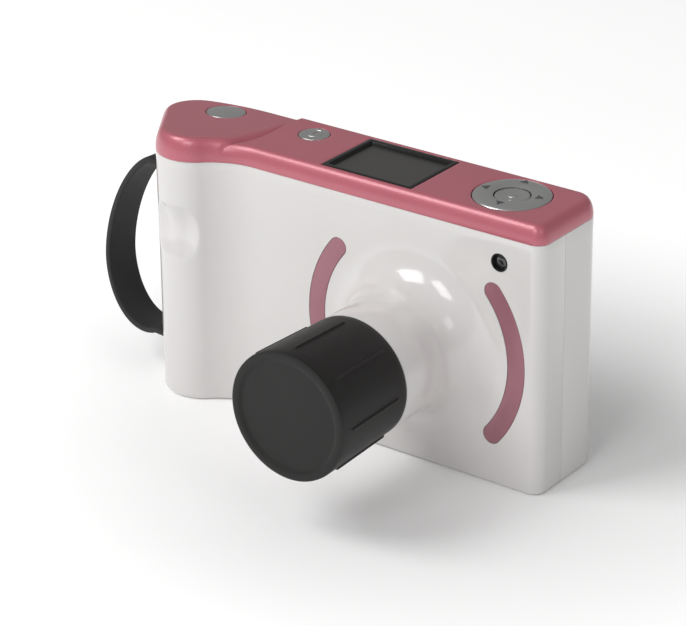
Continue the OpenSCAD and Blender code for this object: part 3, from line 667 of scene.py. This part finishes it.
def fill(patches, outer, holes, height, spacing):
    """Triangles over the area inside outer and outside the holes, raised to height(x, y)."""
    coords, edges = [], []
    for loop in [outer, *holes]:
        start, count = len(coords), len(loop)
        coords += [Vector(p) for p in loop]
        edges += [(start + i, start + (i + 1) % count) for i in range(count)]
    coords += [Vector(p) for p in inner_points(outer, holes, spacing)]
    found = delaunay_2d_cdt(coords, edges, [], 0, 1e-5)
    points = np.array([tuple(p) for p in found[0]])
    triangles = np.array(found[2])
    middle = points[triangles].mean(axis=1)
    keep = inside(outer, middle)
    for hole in holes:
        keep &= ~inside(hole, middle)
    ids = patches.add(np.column_stack([points, height(points[:, 0], points[:, 1])]))
    patches.faces += [[ids[a], ids[b], ids[c]] for a, b, c in triangles[keep]]


def cover_underside(x, y):
    return cover_top(x, y) - WALL


def edge_row(inset, low, angle, height):
    """Loop of the cover's rounded edge: angle goes from 0 at its foot to 90 degrees at the top face."""
    loop = cover_loop(inset)
    return np.column_stack([loop, low + (height(loop[:, 0], loop[:, 1]) - low) * math.sin(angle)])


def hole_rim(top_loop, low_loop):
    """Rows down a hole's rounded rim and wall, from the top face to the underside."""
    rows = [np.column_stack([top_loop, cover_top(*top_loop.T)])]
    for a in np.radians([30, 60]):
        mid = top_loop + (low_loop - top_loop) * math.sin(a)
        rows.append(np.column_stack([mid, cover_top(*mid.T) - RIM_EDGE * (1 - math.cos(a))]))
    rows.append(np.column_stack([low_loop, cover_top(*low_loop.T) - RIM_EDGE]))
    rows.append(np.column_stack([low_loop, cover_underside(*low_loop.T)]))
    return rows


def make_cover(rose):
    patches = Patches()
    base = SEAM_Z + SEAM_GAP
    outer = [lift(cover_loop(more), base + up) for more, up in LIP_ROUND[::-1]]
    for a in np.radians(np.linspace(0, 90, 15))[1:]:
        outer.append(edge_row(COVER_REACH * (1 - math.cos(a)), base + LIP, a, cover_top))
    patches.grid(outer, closed=True)
    fill(patches, cover_loop(COVER_REACH), cover_holes(RIM_EDGE), cover_top, 1.3)
    inner = [lift(cover_loop(WALL), base)]
    for a in np.radians(np.linspace(0, 90, 7))[1:]:
        inner.append(edge_row(WALL + LINING_REACH * (1 - math.cos(a)), base, a, cover_underside))
    patches.grid(inner, closed=True)
    fill(patches, cover_loop(WALL + LINING_REACH), cover_holes(0), cover_underside, 2.6)
    patches.grid([outer[0], inner[0]], closed=True)
    for top_loop, low_loop in zip(cover_holes(RIM_EDGE), cover_holes(0)):
        patches.grid(hole_rim(top_loop, low_loop), closed=True)
    cover = new_object("top_cover_skin", patches.mesh("top_cover_skin"))
    finish_piece(cover, rose, replaces=["top_cover"], sharp=40)


# ---------------------------------------------------------------- trims, keys and display
def make_inlays(mauve, painted_gap_shade_material):
    for side, node in ((-1, "left_inlay"), (1, "right_inlay")):
        layers = [(-0.25, 1.0)] + [(-0.25 - i, -0.05 + d) for i, d in rounding(0.3, 3)]
        trim = new_object(f"{node}_trim", inlay_mesh(side, layers, node))
        finish_piece(trim, mauve, replaces=[node])
        # The dark band sunk under each trim is painted shade: it darkens the gap round the trim
        painted_shade_band = new_object(f"{node}_painted_gap_shade", inlay_mesh(side, [(-0.02, 1.04), (-0.02, 0.3)], f"{node}_painted_gap_shade"))
        finish_piece(painted_shade_band, painted_gap_shade_material)


def make_sensor(black, lens):
    """Black ring round a domed lens."""
    place = along_beam(0, *SENSOR_AT)
    r = SENSOR_R
    bezel = [(r, -4), (r, 0.1), (r - 0.1, 0.3), (r - 0.35, 0.38), (r - 0.75, 0.2), (r - 0.95, -0.3),
             (r - 1.0, -1.2), (r - 1.0, -4)]
    ring = new_object("sensor_ring", lathe(bezel, 64, place, "sensor_ring"))
    finish_piece(ring, black, replaces=["sensor_bezel"])
    sphere, sink = 9.0, 0.9
    angles = np.radians(np.linspace(0, 24, 9))
    dome = [(sphere * math.sin(a), -sink - sphere * (1 - math.cos(a))) for a in angles]
    glass = [(0, -3), (r - 1.05, -3)] + dome[::-1]
    glass[-1] = (0, glass[-1][1])
    piece = new_object("sensor_glass", lathe(glass, 64, place, "sensor_glass"))
    finish_piece(piece, lens, replaces=["sensor_lens"])


def display_ring(inset, z, r):
    """Rounded rectangle inside the display's outline, at height z."""
    width, depth = DISPLAY_SIZE
    return lift(rounded_rect(DISPLAY_AT, (width - 2 * inset, depth - 2 * inset), r), z)


def make_display(black, lcd):
    top = PLATEAU + 0.12
    steps = [(0.15, -3, 0.7), (0.15, -0.3, 0.7), (0.24, -0.09, 0.65), (0.45, 0, 0.5)]
    border_steps = [(0, 0, 1.2), (0.12, -0.05, 1.1), (0.25, -0.25, 1.0), (1.1, -DISPLAY_SINK, 0.8),
                    (1.3, -DISPLAY_SINK - 0.4, 0.8), (1.3, -3, 0.8)]
    steps += [(DISPLAY_BORDER + inset, z, r) for inset, z, r in border_steps]
    loops = [display_ring(inset, top + z, r) for inset, z, r in steps]
    patches = Patches()
    patches.grid(loops + loops[:1], closed=True)
    frame_piece = new_object("display_frame", patches.mesh("display_frame"))
    finish_piece(frame_piece, black, replaces=["display_bezel", "display_window"], sharp=25)
    inset, face = DISPLAY_BORDER + 1.25, top - DISPLAY_SINK - 0.15
    rows = [display_ring(inset, PLATEAU - 8, 0.5), display_ring(inset, face - 0.1, 0.5),
            display_ring(inset + 0.1, face, 0.4)]
    patches = Patches()
    patches.grid(rows, closed=True)
    patches.face(rows[0])
    patches.face(rows[-1])
    panel = new_object("lcd_screen", patches.mesh("lcd_screen"))
    finish_piece(panel, lcd, replaces=["lcd_panel"])


def dome_profile(r, crown, edge, sink):
    """Key from its skirt's foot to the middle of its domed top, with a rounded shoulder."""
    sphere = (r * r + crown * crown) / (2 * crown)
    shoulder = [(r - i, -d) for i, d in rounding(edge, 5)]
    top_edge = math.asin((r - edge) / sphere)
    drop = sphere * (1 - math.cos(top_edge))
    angles = np.linspace(top_edge, 0, 9)[1:]
    rise = [(sphere * math.sin(a), drop - sphere * (1 - math.cos(a))) for a in angles]
    rise[-1] = (0, rise[-1][1])
    return [(0, -sink), (r, -sink)] + shoulder + rise


def pad_frame():
    """Frame on the grip pad under the exposure button, tilted with the pad."""
    z = SEAM_Z + PAD_H - PAD_FALL * EXPOSE_AT[1]
    return Matrix.Translation((*EXPOSE_AT, z)) @ Matrix.Rotation(-PAD_TILT, 4, "X")


def make_exposure_key(silver):
    profile = dome_profile(EXPOSE_R, 0.55, 0.5, KEY_SINK)
    key = new_object("exposure_key", lathe(profile, 96, pad_frame(), "exposure_key"))
    finish_piece(key, silver, "exposure_key", ["exposure_button"])


def make_power_key(silver):
    """Domed key with a ring groove and a short bar sunk into its top."""
    top = Matrix.Translation((*POWER_AT, PLATEAU + 0.1))
    dome = dome_profile(POWER_R, 0.45, 0.5, KEY_SINK)
    groove = [(4.9, 0.26), (4.75, 0.08), (4.45, 0.08), (4.3, 0.3)]
    outside = [p for p in dome if p[0] > 5.2 or p[1] < -0.6]
    middle = [p for p in dome if 0 <= p[0] < 4.0 and p[1] > 0]
    key = new_object("power_key", lathe(outside + groove + middle, 80, top, "power_key"))
    cut(key, [box_mesh((-0.35, -1.1, 0.1), (0.35, 2.4, 1.5), top)])
    finish_piece(key, silver, "power_key", ["power_button"])


def make_ring_key(silver):
    """Rocking ring with a crowned face, over a skirt that clears the gimbal."""
    face = []
    for x in np.linspace(RING_R - 0.25, RING_IN + 0.35, 20):
        face.append((x, 1.35 - RING_CROWN + math.sqrt(RING_CROWN**2 - (x - RING_MID) ** 2)))
    bottom, skirt, skirt_r = -1.6, -3.85, 16.1
    profile = [(RING_IN, bottom), (RING_IN, 0.0), *face[::-1], (RING_R, -0.25), (RING_R, skirt),
               (skirt_r, skirt), (skirt_r, bottom)]
    top = Matrix.Translation((*RING_AT, PLATEAU))
    dial = new_object("ring_key", lathe(profile, 128, top, "ring_key"))
    finish_piece(dial, silver, "nav_rocker", ["nav_ring"])


def make_ring_marks(mark):
    """Four raised triangles that point outwards on the ring."""
    patches = Patches()
    for quarter in range(4):
        a = math.radians(90 * quarter + 8)
        u = np.array([math.cos(a), math.sin(a)])
        v = np.array([-u[1], u[0]])
        foot = u * (RING_MID - 1.4)
        corners = [u * (RING_MID + 2.1), foot + v * 2.3, foot - v * 2.3]
        centre = sum(corners) / 3
        loops = []
        for size, z in ((1.0, 1.0), (1.0, 1.5), (0.8, 1.62)):
            triangle = [np.array(RING_AT) + centre + (p - centre) * size for p in corners]
            loops.append(lift(triangle, PLATEAU + z))
        patches.grid(loops, closed=True)
        patches.face(loops[0])
        patches.face(loops[-1])
    marks = new_object("ring_marks", patches.mesh("ring_marks"))
    finish_piece(marks, mark, "nav_rocker")


def make_select_key(silver):
    """Dished key with a small raised disc in the middle."""
    r = SELECT_R
    profile = [(0, -4), (r, -4), (r, -0.75), (r - 0.15, -0.4), (r - 0.5, -0.2), (r - 1.4, -0.1),
               (r - 1.9, -0.3), (r - 3.4, -0.55), (r - 5, -0.62), (2.6, -0.62), (2.4, -0.3), (1.9, -0.22),
               (0, -0.2)]
    top = Matrix.Translation((*RING_AT, PLATEAU))
    key = new_object("select_key", lathe(profile, 96, top, "select_key"))
    finish_piece(key, silver, "select_key", ["select_button"])


# ---------------------------------------------------------------- cap and strap
CAP_LENGTH = CAP_FRONT - CAP_REAR
RIBS = 8
RIB_W, RIB_H, RIB_ROUND = 1.5, 0.9, 0.45
RIB_FROM, RIB_TO = 7.6, 47.2


def ring_at(angle, r, s):
    return np.stack([r * np.cos(angle), r * np.sin(angle), 0 * angle + s], axis=1)


def cap_radius(s):
    """Radius of the tapered cap at a length s from its rear end."""
    return CAP_REAR_R + (CAP_FRONT_R - CAP_REAR_R) * s / CAP_LENGTH


def rib_rise(across, s):
    """How far a rib stands out at a distance across it and a length s along the cap."""
    side = np.clip((RIB_W / 2 - across) / RIB_ROUND, 0, 1)
    ends = np.clip(min(s - RIB_FROM, RIB_TO - s) / 0.9, 0, 1)
    return RIB_H * np.sqrt(1 - (1 - side) ** 2) * math.sqrt(1 - (1 - ends) ** 2)


def cap_rows(angle, offsets):
    """Rings of the cap's outside, from its rear end to the middle of its dished face."""
    across = np.tile(np.abs(offsets), RIBS)
    stops = np.concatenate([
        [0.0, 0.25, 0.7, 4, 6.5], np.linspace(7, 11, 9), [20, 30, 40], np.linspace(43.5, 48, 10),
    ])
    rows = []
    for s in stops:
        r = cap_radius(s) - 0.5 * max(0, 1 - s / 0.7) ** 2
        rows.append(ring_at(angle, r + rib_rise(across * math.pi / 180 * r, s), s))
    face = [(0, 5.6), (-0.02, 5.2), (0, 1.7), (-0.12, 1.0), (-0.25, 0.4), (-0.9, 0.08), (-1.8, 0), (-3.7, 0),
            (-4.3, 0.15), (-5.1, 0.75), (-5.7, 1.05), (-6.6, 1.12), (-7.2, 1.12), (-8, 1.12)]
    for more, back in face:
        s = CAP_LENGTH - back
        r = cap_radius(min(s, CAP_LENGTH - 1))
        rows.append(ring_at(angle, r + more, s))
    return rows


def make_cap(rubber):
    offsets = np.concatenate([
        np.linspace(-22.5, -4, 8), np.linspace(-3, 3, 17), np.linspace(4, 22.5, 8)[:-1],
    ])
    angle = np.radians(np.concatenate([360 / RIBS * k + offsets for k in range(RIBS)]))
    rows = cap_rows(angle, offsets)
    mouth = [(31.6, 0.0), (TUBE_R + 0.3, 0.0), (TUBE_R, 0.3), (TUBE_R, CAP_LENGTH - 4.4)]
    bore = [ring_at(angle, r, s) for r, s in mouth]
    patches = Patches()
    patches.grid(rows, closed=True)
    patches.face(rows[-1])
    patches.grid(bore, closed=True)
    patches.grid([rows[0], bore[0]], closed=True)
    patches.face(bore[-1])
    cap = new_object("rubber_cap", patches.mesh("rubber_cap", along_beam(-CAP_REAR)))
    finish_piece(cap, rubber, "cap", ["cone_cap"], sharp=50)


def make_strap(rubber):
    depth = STRAP_T / 2
    ends = np.linspace(-4, TONGUE, 8)[:-1]
    h = STRAP_HALF - depth
    low_end = np.stack([ends, 0 * ends - h], axis=1)
    high_end = np.stack([ends[::-1], 0 * ends + h], axis=1)
    path = np.concatenate([low_end, strap_line(depth), high_end])
    apart = np.hypot(*np.diff(path, axis=0).T) > 0.05
    path = path[np.concatenate([[True], apart])]
    tangent = np.gradient(path, axis=0)
    tangent /= np.linalg.norm(tangent, axis=1)[:, None]
    normal = np.stack([tangent[:, 1], -tangent[:, 0]], axis=1)
    section = rounded_rect((0, 0), (STRAP_W, STRAP_T), 1.0, 5)
    patches = Patches()
    rows = []
    for p, n in zip(path, normal):
        w, t = section[:, 0], section[:, 1]
        dish = 0.22 * np.clip(1 - (np.abs(w) - 6) / 1.5, 0, 1) * np.sign(t)
        t = t - np.where(np.abs(w) < 7.5, dish, 0)
        rows.append(np.stack([p[0] + n[0] * t, w, p[1] + n[1] * t], axis=1))
    patches.grid(rows, closed=True)
    patches.face(rows[0])
    patches.face(rows[-1])
    strap = new_object("strap_band", patches.mesh("strap_band", STRAP_FRAME))
    finish_piece(strap, rubber, "strap", ["hand_strap"], sharp=50)


def make_screws(steel):
    """Pan-head screws with a hex socket in the back's counterbores."""
    profile = [(0, -41), (1.45, -41), (1.45, -2), (2.7, -2), (2.75, -0.5), (2.55, -0.15), (2.2, 0), (0, 0)]
    screws = []
    for x, z in HOUSING_SCREWS:
        place = back_frame(x, z, BODY_DEPTH - 2)
        screw = new_object("screw", lathe(profile, 40, place, "screw"))
        cut(screw, [drill(1.25, 1.4, place, 6, above=1)])
        screws.append(screw)
    joined = bmesh.new()
    for screw in screws:
        joined.from_mesh(screw.data)
        bpy.data.objects.remove(screw)
    mesh = bpy.data.meshes.new("housing_screw_set")
    joined.to_mesh(mesh)
    joined.free()
    finish_piece(new_object("housing_screw_set", mesh), steel, replaces=["housing_screws"])


# ---------------------------------------------------------------- materials
ROUGH_VARY = 0.08
PLASTIC_IOR = 1.5
BUMP_HEIGHT = 0.0002
FLAKE_SCALE = 3200.0
BRUSH_STRETCH = 0.04


def shader(name, color, roughness, vary=0.05, grain=900.0, bump=0.02, metallic=0.0, coat=0.0,
           coat_roughness=0.1, wear=0.15, wear_color=None, flakes=0.0, specular=0.5, sheen=0.0,
           transmission=0.0, blotch=25.0, brushed=False):
    """Procedural material: colour variation, rubbed edges, uneven roughness and a grain in the bump."""
    material = bpy.data.materials.new(name)
    material.use_nodes = True
    tree = material.node_tree
    nodes, links = tree.nodes, tree.links
    principled = nodes["Principled BSDF"]
    uniform = {
        "Metallic": metallic, "Coat Weight": coat, "Coat Roughness": coat_roughness,
        "Specular IOR Level": specular, "Sheen Weight": sheen, "Transmission Weight": transmission,
        "IOR": PLASTIC_IOR,
    }
    for socket, value in uniform.items():
        principled.inputs[socket].default_value = value

    def node(kind, **values):
        made = nodes.new(kind)
        for key, value in values.items():
            made.inputs[key.replace("_", " ")].default_value = value
        return made

    place = nodes.new("ShaderNodeTexCoord").outputs["Object"]
    if brushed:
        stretch = node("ShaderNodeMapping", Scale=(1.0, BRUSH_STRETCH, 1.0))
        links.new(place, stretch.inputs["Vector"])
        place = stretch.outputs["Vector"]
    large = node("ShaderNodeTexNoise", Scale=blotch, Detail=3.0)
    fine = node("ShaderNodeTexNoise", Scale=grain, Detail=2.0)
    for texture in (large, fine):
        links.new(place, texture.inputs["Vector"])

    def mixed(factor, a, b):
        mix = nodes.new("ShaderNodeMix")
        mix.data_type = "RGBA"
        links.new(factor, mix.inputs["Factor"])
        for socket, value in ((mix.inputs[6], a), (mix.inputs[7], b)):
            if isinstance(value, tuple):
                socket.default_value = (*value, 1)
            else:
                links.new(value, socket)
        return mix.outputs[2]

    def remap(value, low, high, to_low, to_high):
        ramp = node("ShaderNodeMapRange", From_Min=low, From_Max=high, To_Min=to_low, To_Max=to_high)
        links.new(value, ramp.inputs["Value"])
        return ramp.outputs["Result"]

    dark = tuple(c * (1 - vary) for c in color)
    light = tuple(min(1, c * (1 + vary)) for c in color)
    surface = mixed(remap(large.outputs["Fac"], 0.3, 0.7, 0, 1), dark, light)
    if flakes:
        cells = node("ShaderNodeTexVoronoi", Scale=FLAKE_SCALE)
        links.new(place, cells.inputs["Vector"])
        spark = tuple(min(1, c * 1.5 + 0.03) for c in color)
        surface = mixed(remap(cells.outputs["Distance"], 0.1, 0.6, flakes, 0), surface, spark)
    if wear:
        edge = nodes.new("ShaderNodeNewGeometry").outputs["Pointiness"]
        rubbed = wear_color or tuple(min(1, c * 1.3 + 0.02) for c in color)
        surface = mixed(remap(edge, 0.53, 0.62, 0, wear), surface, rubbed)
    links.new(surface, principled.inputs["Base Color"])
    smooth, coarse = roughness * (1 - ROUGH_VARY), roughness * (1 + ROUGH_VARY)
    rough = remap(fine.outputs["Fac"], 0.3, 0.7, smooth, coarse)
    links.new(rough, principled.inputs["Roughness"])
    relief = node("ShaderNodeBump", Strength=bump, Distance=BUMP_HEIGHT)
    links.new(fine.outputs["Fac"], relief.inputs["Height"])
    links.new(relief.outputs["Normal"], principled.inputs["Normal"])
    return material


def make_materials():
    return {
        "white_shell": shader("white_shell", (0.69, 0.672, 0.662), 0.16, vary=0.012, bump=0.015,
                              coat=0.35, coat_roughness=0.05, wear=0.1, wear_color=(0.86, 0.85, 0.84)),
        "pink_cover": shader("rose_lacquer", (0.47, 0.118, 0.155), 0.40, vary=0.03, bump=0.03, metallic=0.2,
                             coat=0.5, coat_roughness=0.2, flakes=0.3, wear=0.08),
        "mauve_trim": shader("mauve_trim", (0.33, 0.135, 0.17), 0.36, vary=0.03, metallic=0.3, coat=0.3,
                             flakes=0.2),
        "black_gloss": shader("black_gloss", (0.007, 0.007, 0.007), 0.2, vary=0.1, bump=0.01, coat=0.1,
                              wear=0.3, wear_color=(0.05, 0.05, 0.05), specular=0.25),
        "smoked_lens": shader("smoked_lens", (0.02, 0.018, 0.02), 0.06, vary=0.1, bump=0.0, coat=1.0,
                              coat_roughness=0.02, wear=0),
        "display_glass": shader("display_glass", (0.7, 0.72, 0.75), 0.03, vary=0.01, bump=0.0,
                                transmission=1.0, wear=0),
        "lcd": shader("lcd", (0.036, 0.035, 0.031), 0.42, vary=0.06, bump=0.02, grain=2500.0, coat=0.25,
                      coat_roughness=0.15, wear=0),
        "silver_keys": shader("silver_lacquer", (0.48, 0.485, 0.478), 0.30, vary=0.03, bump=0.03,
                              metallic=0.85, flakes=0.25, coat=0.15, wear=0.35, wear_color=(0.7, 0.7, 0.7)),
        "black_rubber": shader("black_rubber", (0.0115, 0.011, 0.0105), 0.5, vary=0.12, bump=0.12,
                               grain=1600.0, sheen=0.02, wear=0.3, wear_color=(0.06, 0.058, 0.056),
                               specular=0.3),
        "strap_rubber": shader("strap_rubber", (0.019, 0.019, 0.019), 0.62, vary=0.15, bump=0.2, grain=1400.0,
                               sheen=0.03, wear=0.4, wear_color=(0.09, 0.09, 0.09), specular=0.35),
        "black_plastic": shader("black_plastic", (0.02, 0.02, 0.021), 0.5, vary=0.1, bump=0.15),
        "circuit_board": shader("circuit_board", (0.015, 0.11, 0.05), 0.4, vary=0.15, blotch=300.0, coat=0.3),
        "steel": shader("steel", (0.55, 0.56, 0.58), 0.3, vary=0.06, metallic=1.0, bump=0.05, brushed=True),
        "ivory_plastic": shader("ivory_plastic", (0.74, 0.71, 0.64), 0.38, vary=0.03, bump=0.08),
        "lead": shader("lead", (0.23, 0.235, 0.25), 0.6, vary=0.15, metallic=0.7, bump=0.2, grain=500.0),
        "aluminium": shader("aluminium", (0.6, 0.61, 0.63), 0.35, vary=0.06, metallic=1.0, bump=0.06,
                            brushed=True),
        "tube_glass": shader("tube_glass", (0.85, 0.9, 0.9), 0.04, vary=0.01, bump=0.0, transmission=0.9,
                             wear=0),
        "copper": shader("copper", (0.72, 0.36, 0.2), 0.3, vary=0.12, metallic=1.0, bump=0.05),
        "tungsten": shader("tungsten", (0.28, 0.28, 0.29), 0.3, vary=0.08, metallic=1.0, bump=0.05),
        "brass": shader("brass", (0.7, 0.52, 0.22), 0.28, vary=0.08, metallic=1.0, bump=0.05),
        "cell_wrap": shader("cell_wrap", (0.05, 0.13, 0.35), 0.3, vary=0.06, bump=0.03),
    }


# ---------------------------------------------------------------- stage
FLOOR_HALF = 4.0
FLOOR_DROP = 0.0001
# Painted shadow: the floor's glow is lowest round this point, behind and to the right of the part
PAINTED_SHADOW_CENTRE = (0.06, 0.05, 0)
PAINTED_SHADOW_NEAR, PAINTED_SHADOW_FAR = 0.08, 0.32
GLOW_IN_PAINTED_SHADOW, GLOW_HIGH = 0.05, 0.36


def floor_glow_and_painted_shadow(paint):
    """The floor shines a little, and less towards the part, so that the part's soft shadow shows: this dip in
    the glow is painted shadow round the part.
    """
    principled = paint.node_tree.nodes["Principled BSDF"]
    principled.inputs["Emission Color"].default_value = (1, 1, 1, 1)
    nodes, links = paint.node_tree.nodes, paint.node_tree.links
    distance = nodes.new("ShaderNodeVectorMath")
    distance.operation = "DISTANCE"
    distance.inputs[1].default_value = PAINTED_SHADOW_CENTRE
    # Painted shadow: the glow is weakest near the part and rises away from it
    ramp = nodes.new("ShaderNodeMapRange")
    ramp.interpolation_type = "SMOOTHSTEP"
    values = {"From Min": PAINTED_SHADOW_NEAR, "From Max": PAINTED_SHADOW_FAR, "To Min": GLOW_IN_PAINTED_SHADOW, "To Max": GLOW_HIGH}
    for socket, value in values.items():
        ramp.inputs[socket].default_value = value
    links.new(nodes.new("ShaderNodeTexCoord").outputs["Object"], distance.inputs[0])
    links.new(distance.outputs["Value"], ramp.inputs["Value"])
    links.new(ramp.outputs["Result"], principled.inputs["Emission Strength"])


def make_stage():
    h = FLOOR_HALF
    mesh = bpy.data.meshes.new("floor")
    mesh.from_pydata([(-h, -h, 0), (h, -h, 0), (h, h, 0), (-h, h, 0)], [], [(0, 1, 2, 3)])
    floor = new_object("floor", mesh)
    floor.location.z = -FLOOR_DROP
    paint = shader("floor_paint", (0.94, 0.94, 0.94), 0.7, vary=0.004, bump=0.0, wear=0, grain=40.0,
                   blotch=2.0, specular=0.1)
    floor_glow_and_painted_shadow(paint)
    mesh.materials.append(paint)


# name, azimuth and elevation in degrees, distance and size in metres, watts
LIGHTS = [
    ("key", -42, 50, 2.5, (1.3, 1.1), 30),
    ("fill", 8, 38, 2.0, (0.8, 0.6), 9),
    ("window", 72, 32, 1.6, (0.5, 0.4), 1.4),
]
LIGHT_TARGET = (0, 0, 0.08)
WORLD_COLOR = (1.0, 0.995, 0.99, 1)
WORLD_STRENGTH = 0.31


def area_light(name, azimuth, elevation, distance, size, watts):
    """Soft box that shines on the part from an azimuth (0 is from -Y, 90 from +X) and elevation."""
    a, e = math.radians(azimuth), math.radians(elevation)
    away = Vector((math.sin(a) * math.cos(e), -math.cos(a) * math.cos(e), math.sin(e)))
    light = bpy.data.lights.new(name, "AREA")
    light.shape = "RECTANGLE"
    light.size, light.size_y = size
    light.energy = watts
    lamp = bpy.data.objects.new(name, light)
    lamp.location = Vector(LIGHT_TARGET) + away * distance
    lamp.rotation_euler = away.to_track_quat("Z", "Y").to_euler()
    bpy.context.scene.collection.objects.link(lamp)


def make_light():
    world = bpy.data.worlds.new("studio")
    bpy.context.scene.world = world
    world.use_nodes = True
    world.node_tree.nodes["Background"].inputs["Color"].default_value = WORLD_COLOR
    world.node_tree.nodes["Background"].inputs["Strength"].default_value = WORLD_STRENGTH
    for light in LIGHTS:
        area_light(*light)
    bpy.context.scene.view_settings.view_transform = "Standard"


CAMERA_AT = (0.869947, -1.08775, 0.727319)
CAMERA_AZIMUTH, CAMERA_ELEVATION, CAMERA_ROLL = 37.27, 25.15, -0.8
LENS, SENSOR_WIDTH = 157.1, 36.0


def make_camera():
    azimuth, elevation, roll = (math.radians(a) for a in (CAMERA_AZIMUTH, CAMERA_ELEVATION, CAMERA_ROLL))
    back = Vector((math.cos(elevation) * math.sin(azimuth), -math.cos(elevation) * math.cos(azimuth),
                   math.sin(elevation)))
    right = Vector((math.cos(azimuth), math.sin(azimuth), 0))
    up = back.cross(right)
    turned = right * math.cos(roll) + up * math.sin(roll)
    up = back.cross(turned)
    rotation = Matrix((turned, up, back)).transposed()
    data = bpy.data.cameras.new("camera")
    data.sensor_width = SENSOR_WIDTH
    data.lens = LENS
    camera = bpy.data.objects.new("camera", data)
    camera.location = CAMERA_AT
    camera.rotation_euler = rotation.to_euler()
    bpy.context.scene.collection.objects.link(camera)
    bpy.context.scene.camera = camera


make_camera()
make_light()
make_stage()
materials = make_materials()
make_housing(materials["white_shell"])
make_cover(materials["pink_cover"])
make_inlays(materials["mauve_trim"], shader("mauve_shadow", (0.10, 0.04, 0.055), 0.5))
make_sensor(materials["black_gloss"], materials["smoked_lens"])
make_display(materials["black_gloss"], materials["lcd"])
key_mark = shader("key_mark", (0.10, 0.10, 0.10), 0.35, metallic=0.4, vary=0.1)
make_exposure_key(materials["silver_keys"])
make_power_key(materials["silver_keys"])
make_ring_key(materials["silver_keys"])
make_ring_marks(key_mark)
make_select_key(materials["silver_keys"])
make_cap(materials["black_rubber"])
make_strap(materials["strap_rubber"])
make_screws(materials["steel"])
slots = {part["node"]: part["material_slot"] for part in frame["record"]["subparts"]}
for node_name, cad_node in frame["nodes"].items():
    cad_node.data.materials.clear()
    cad_node.data.materials.append(materials[slots[node_name]])
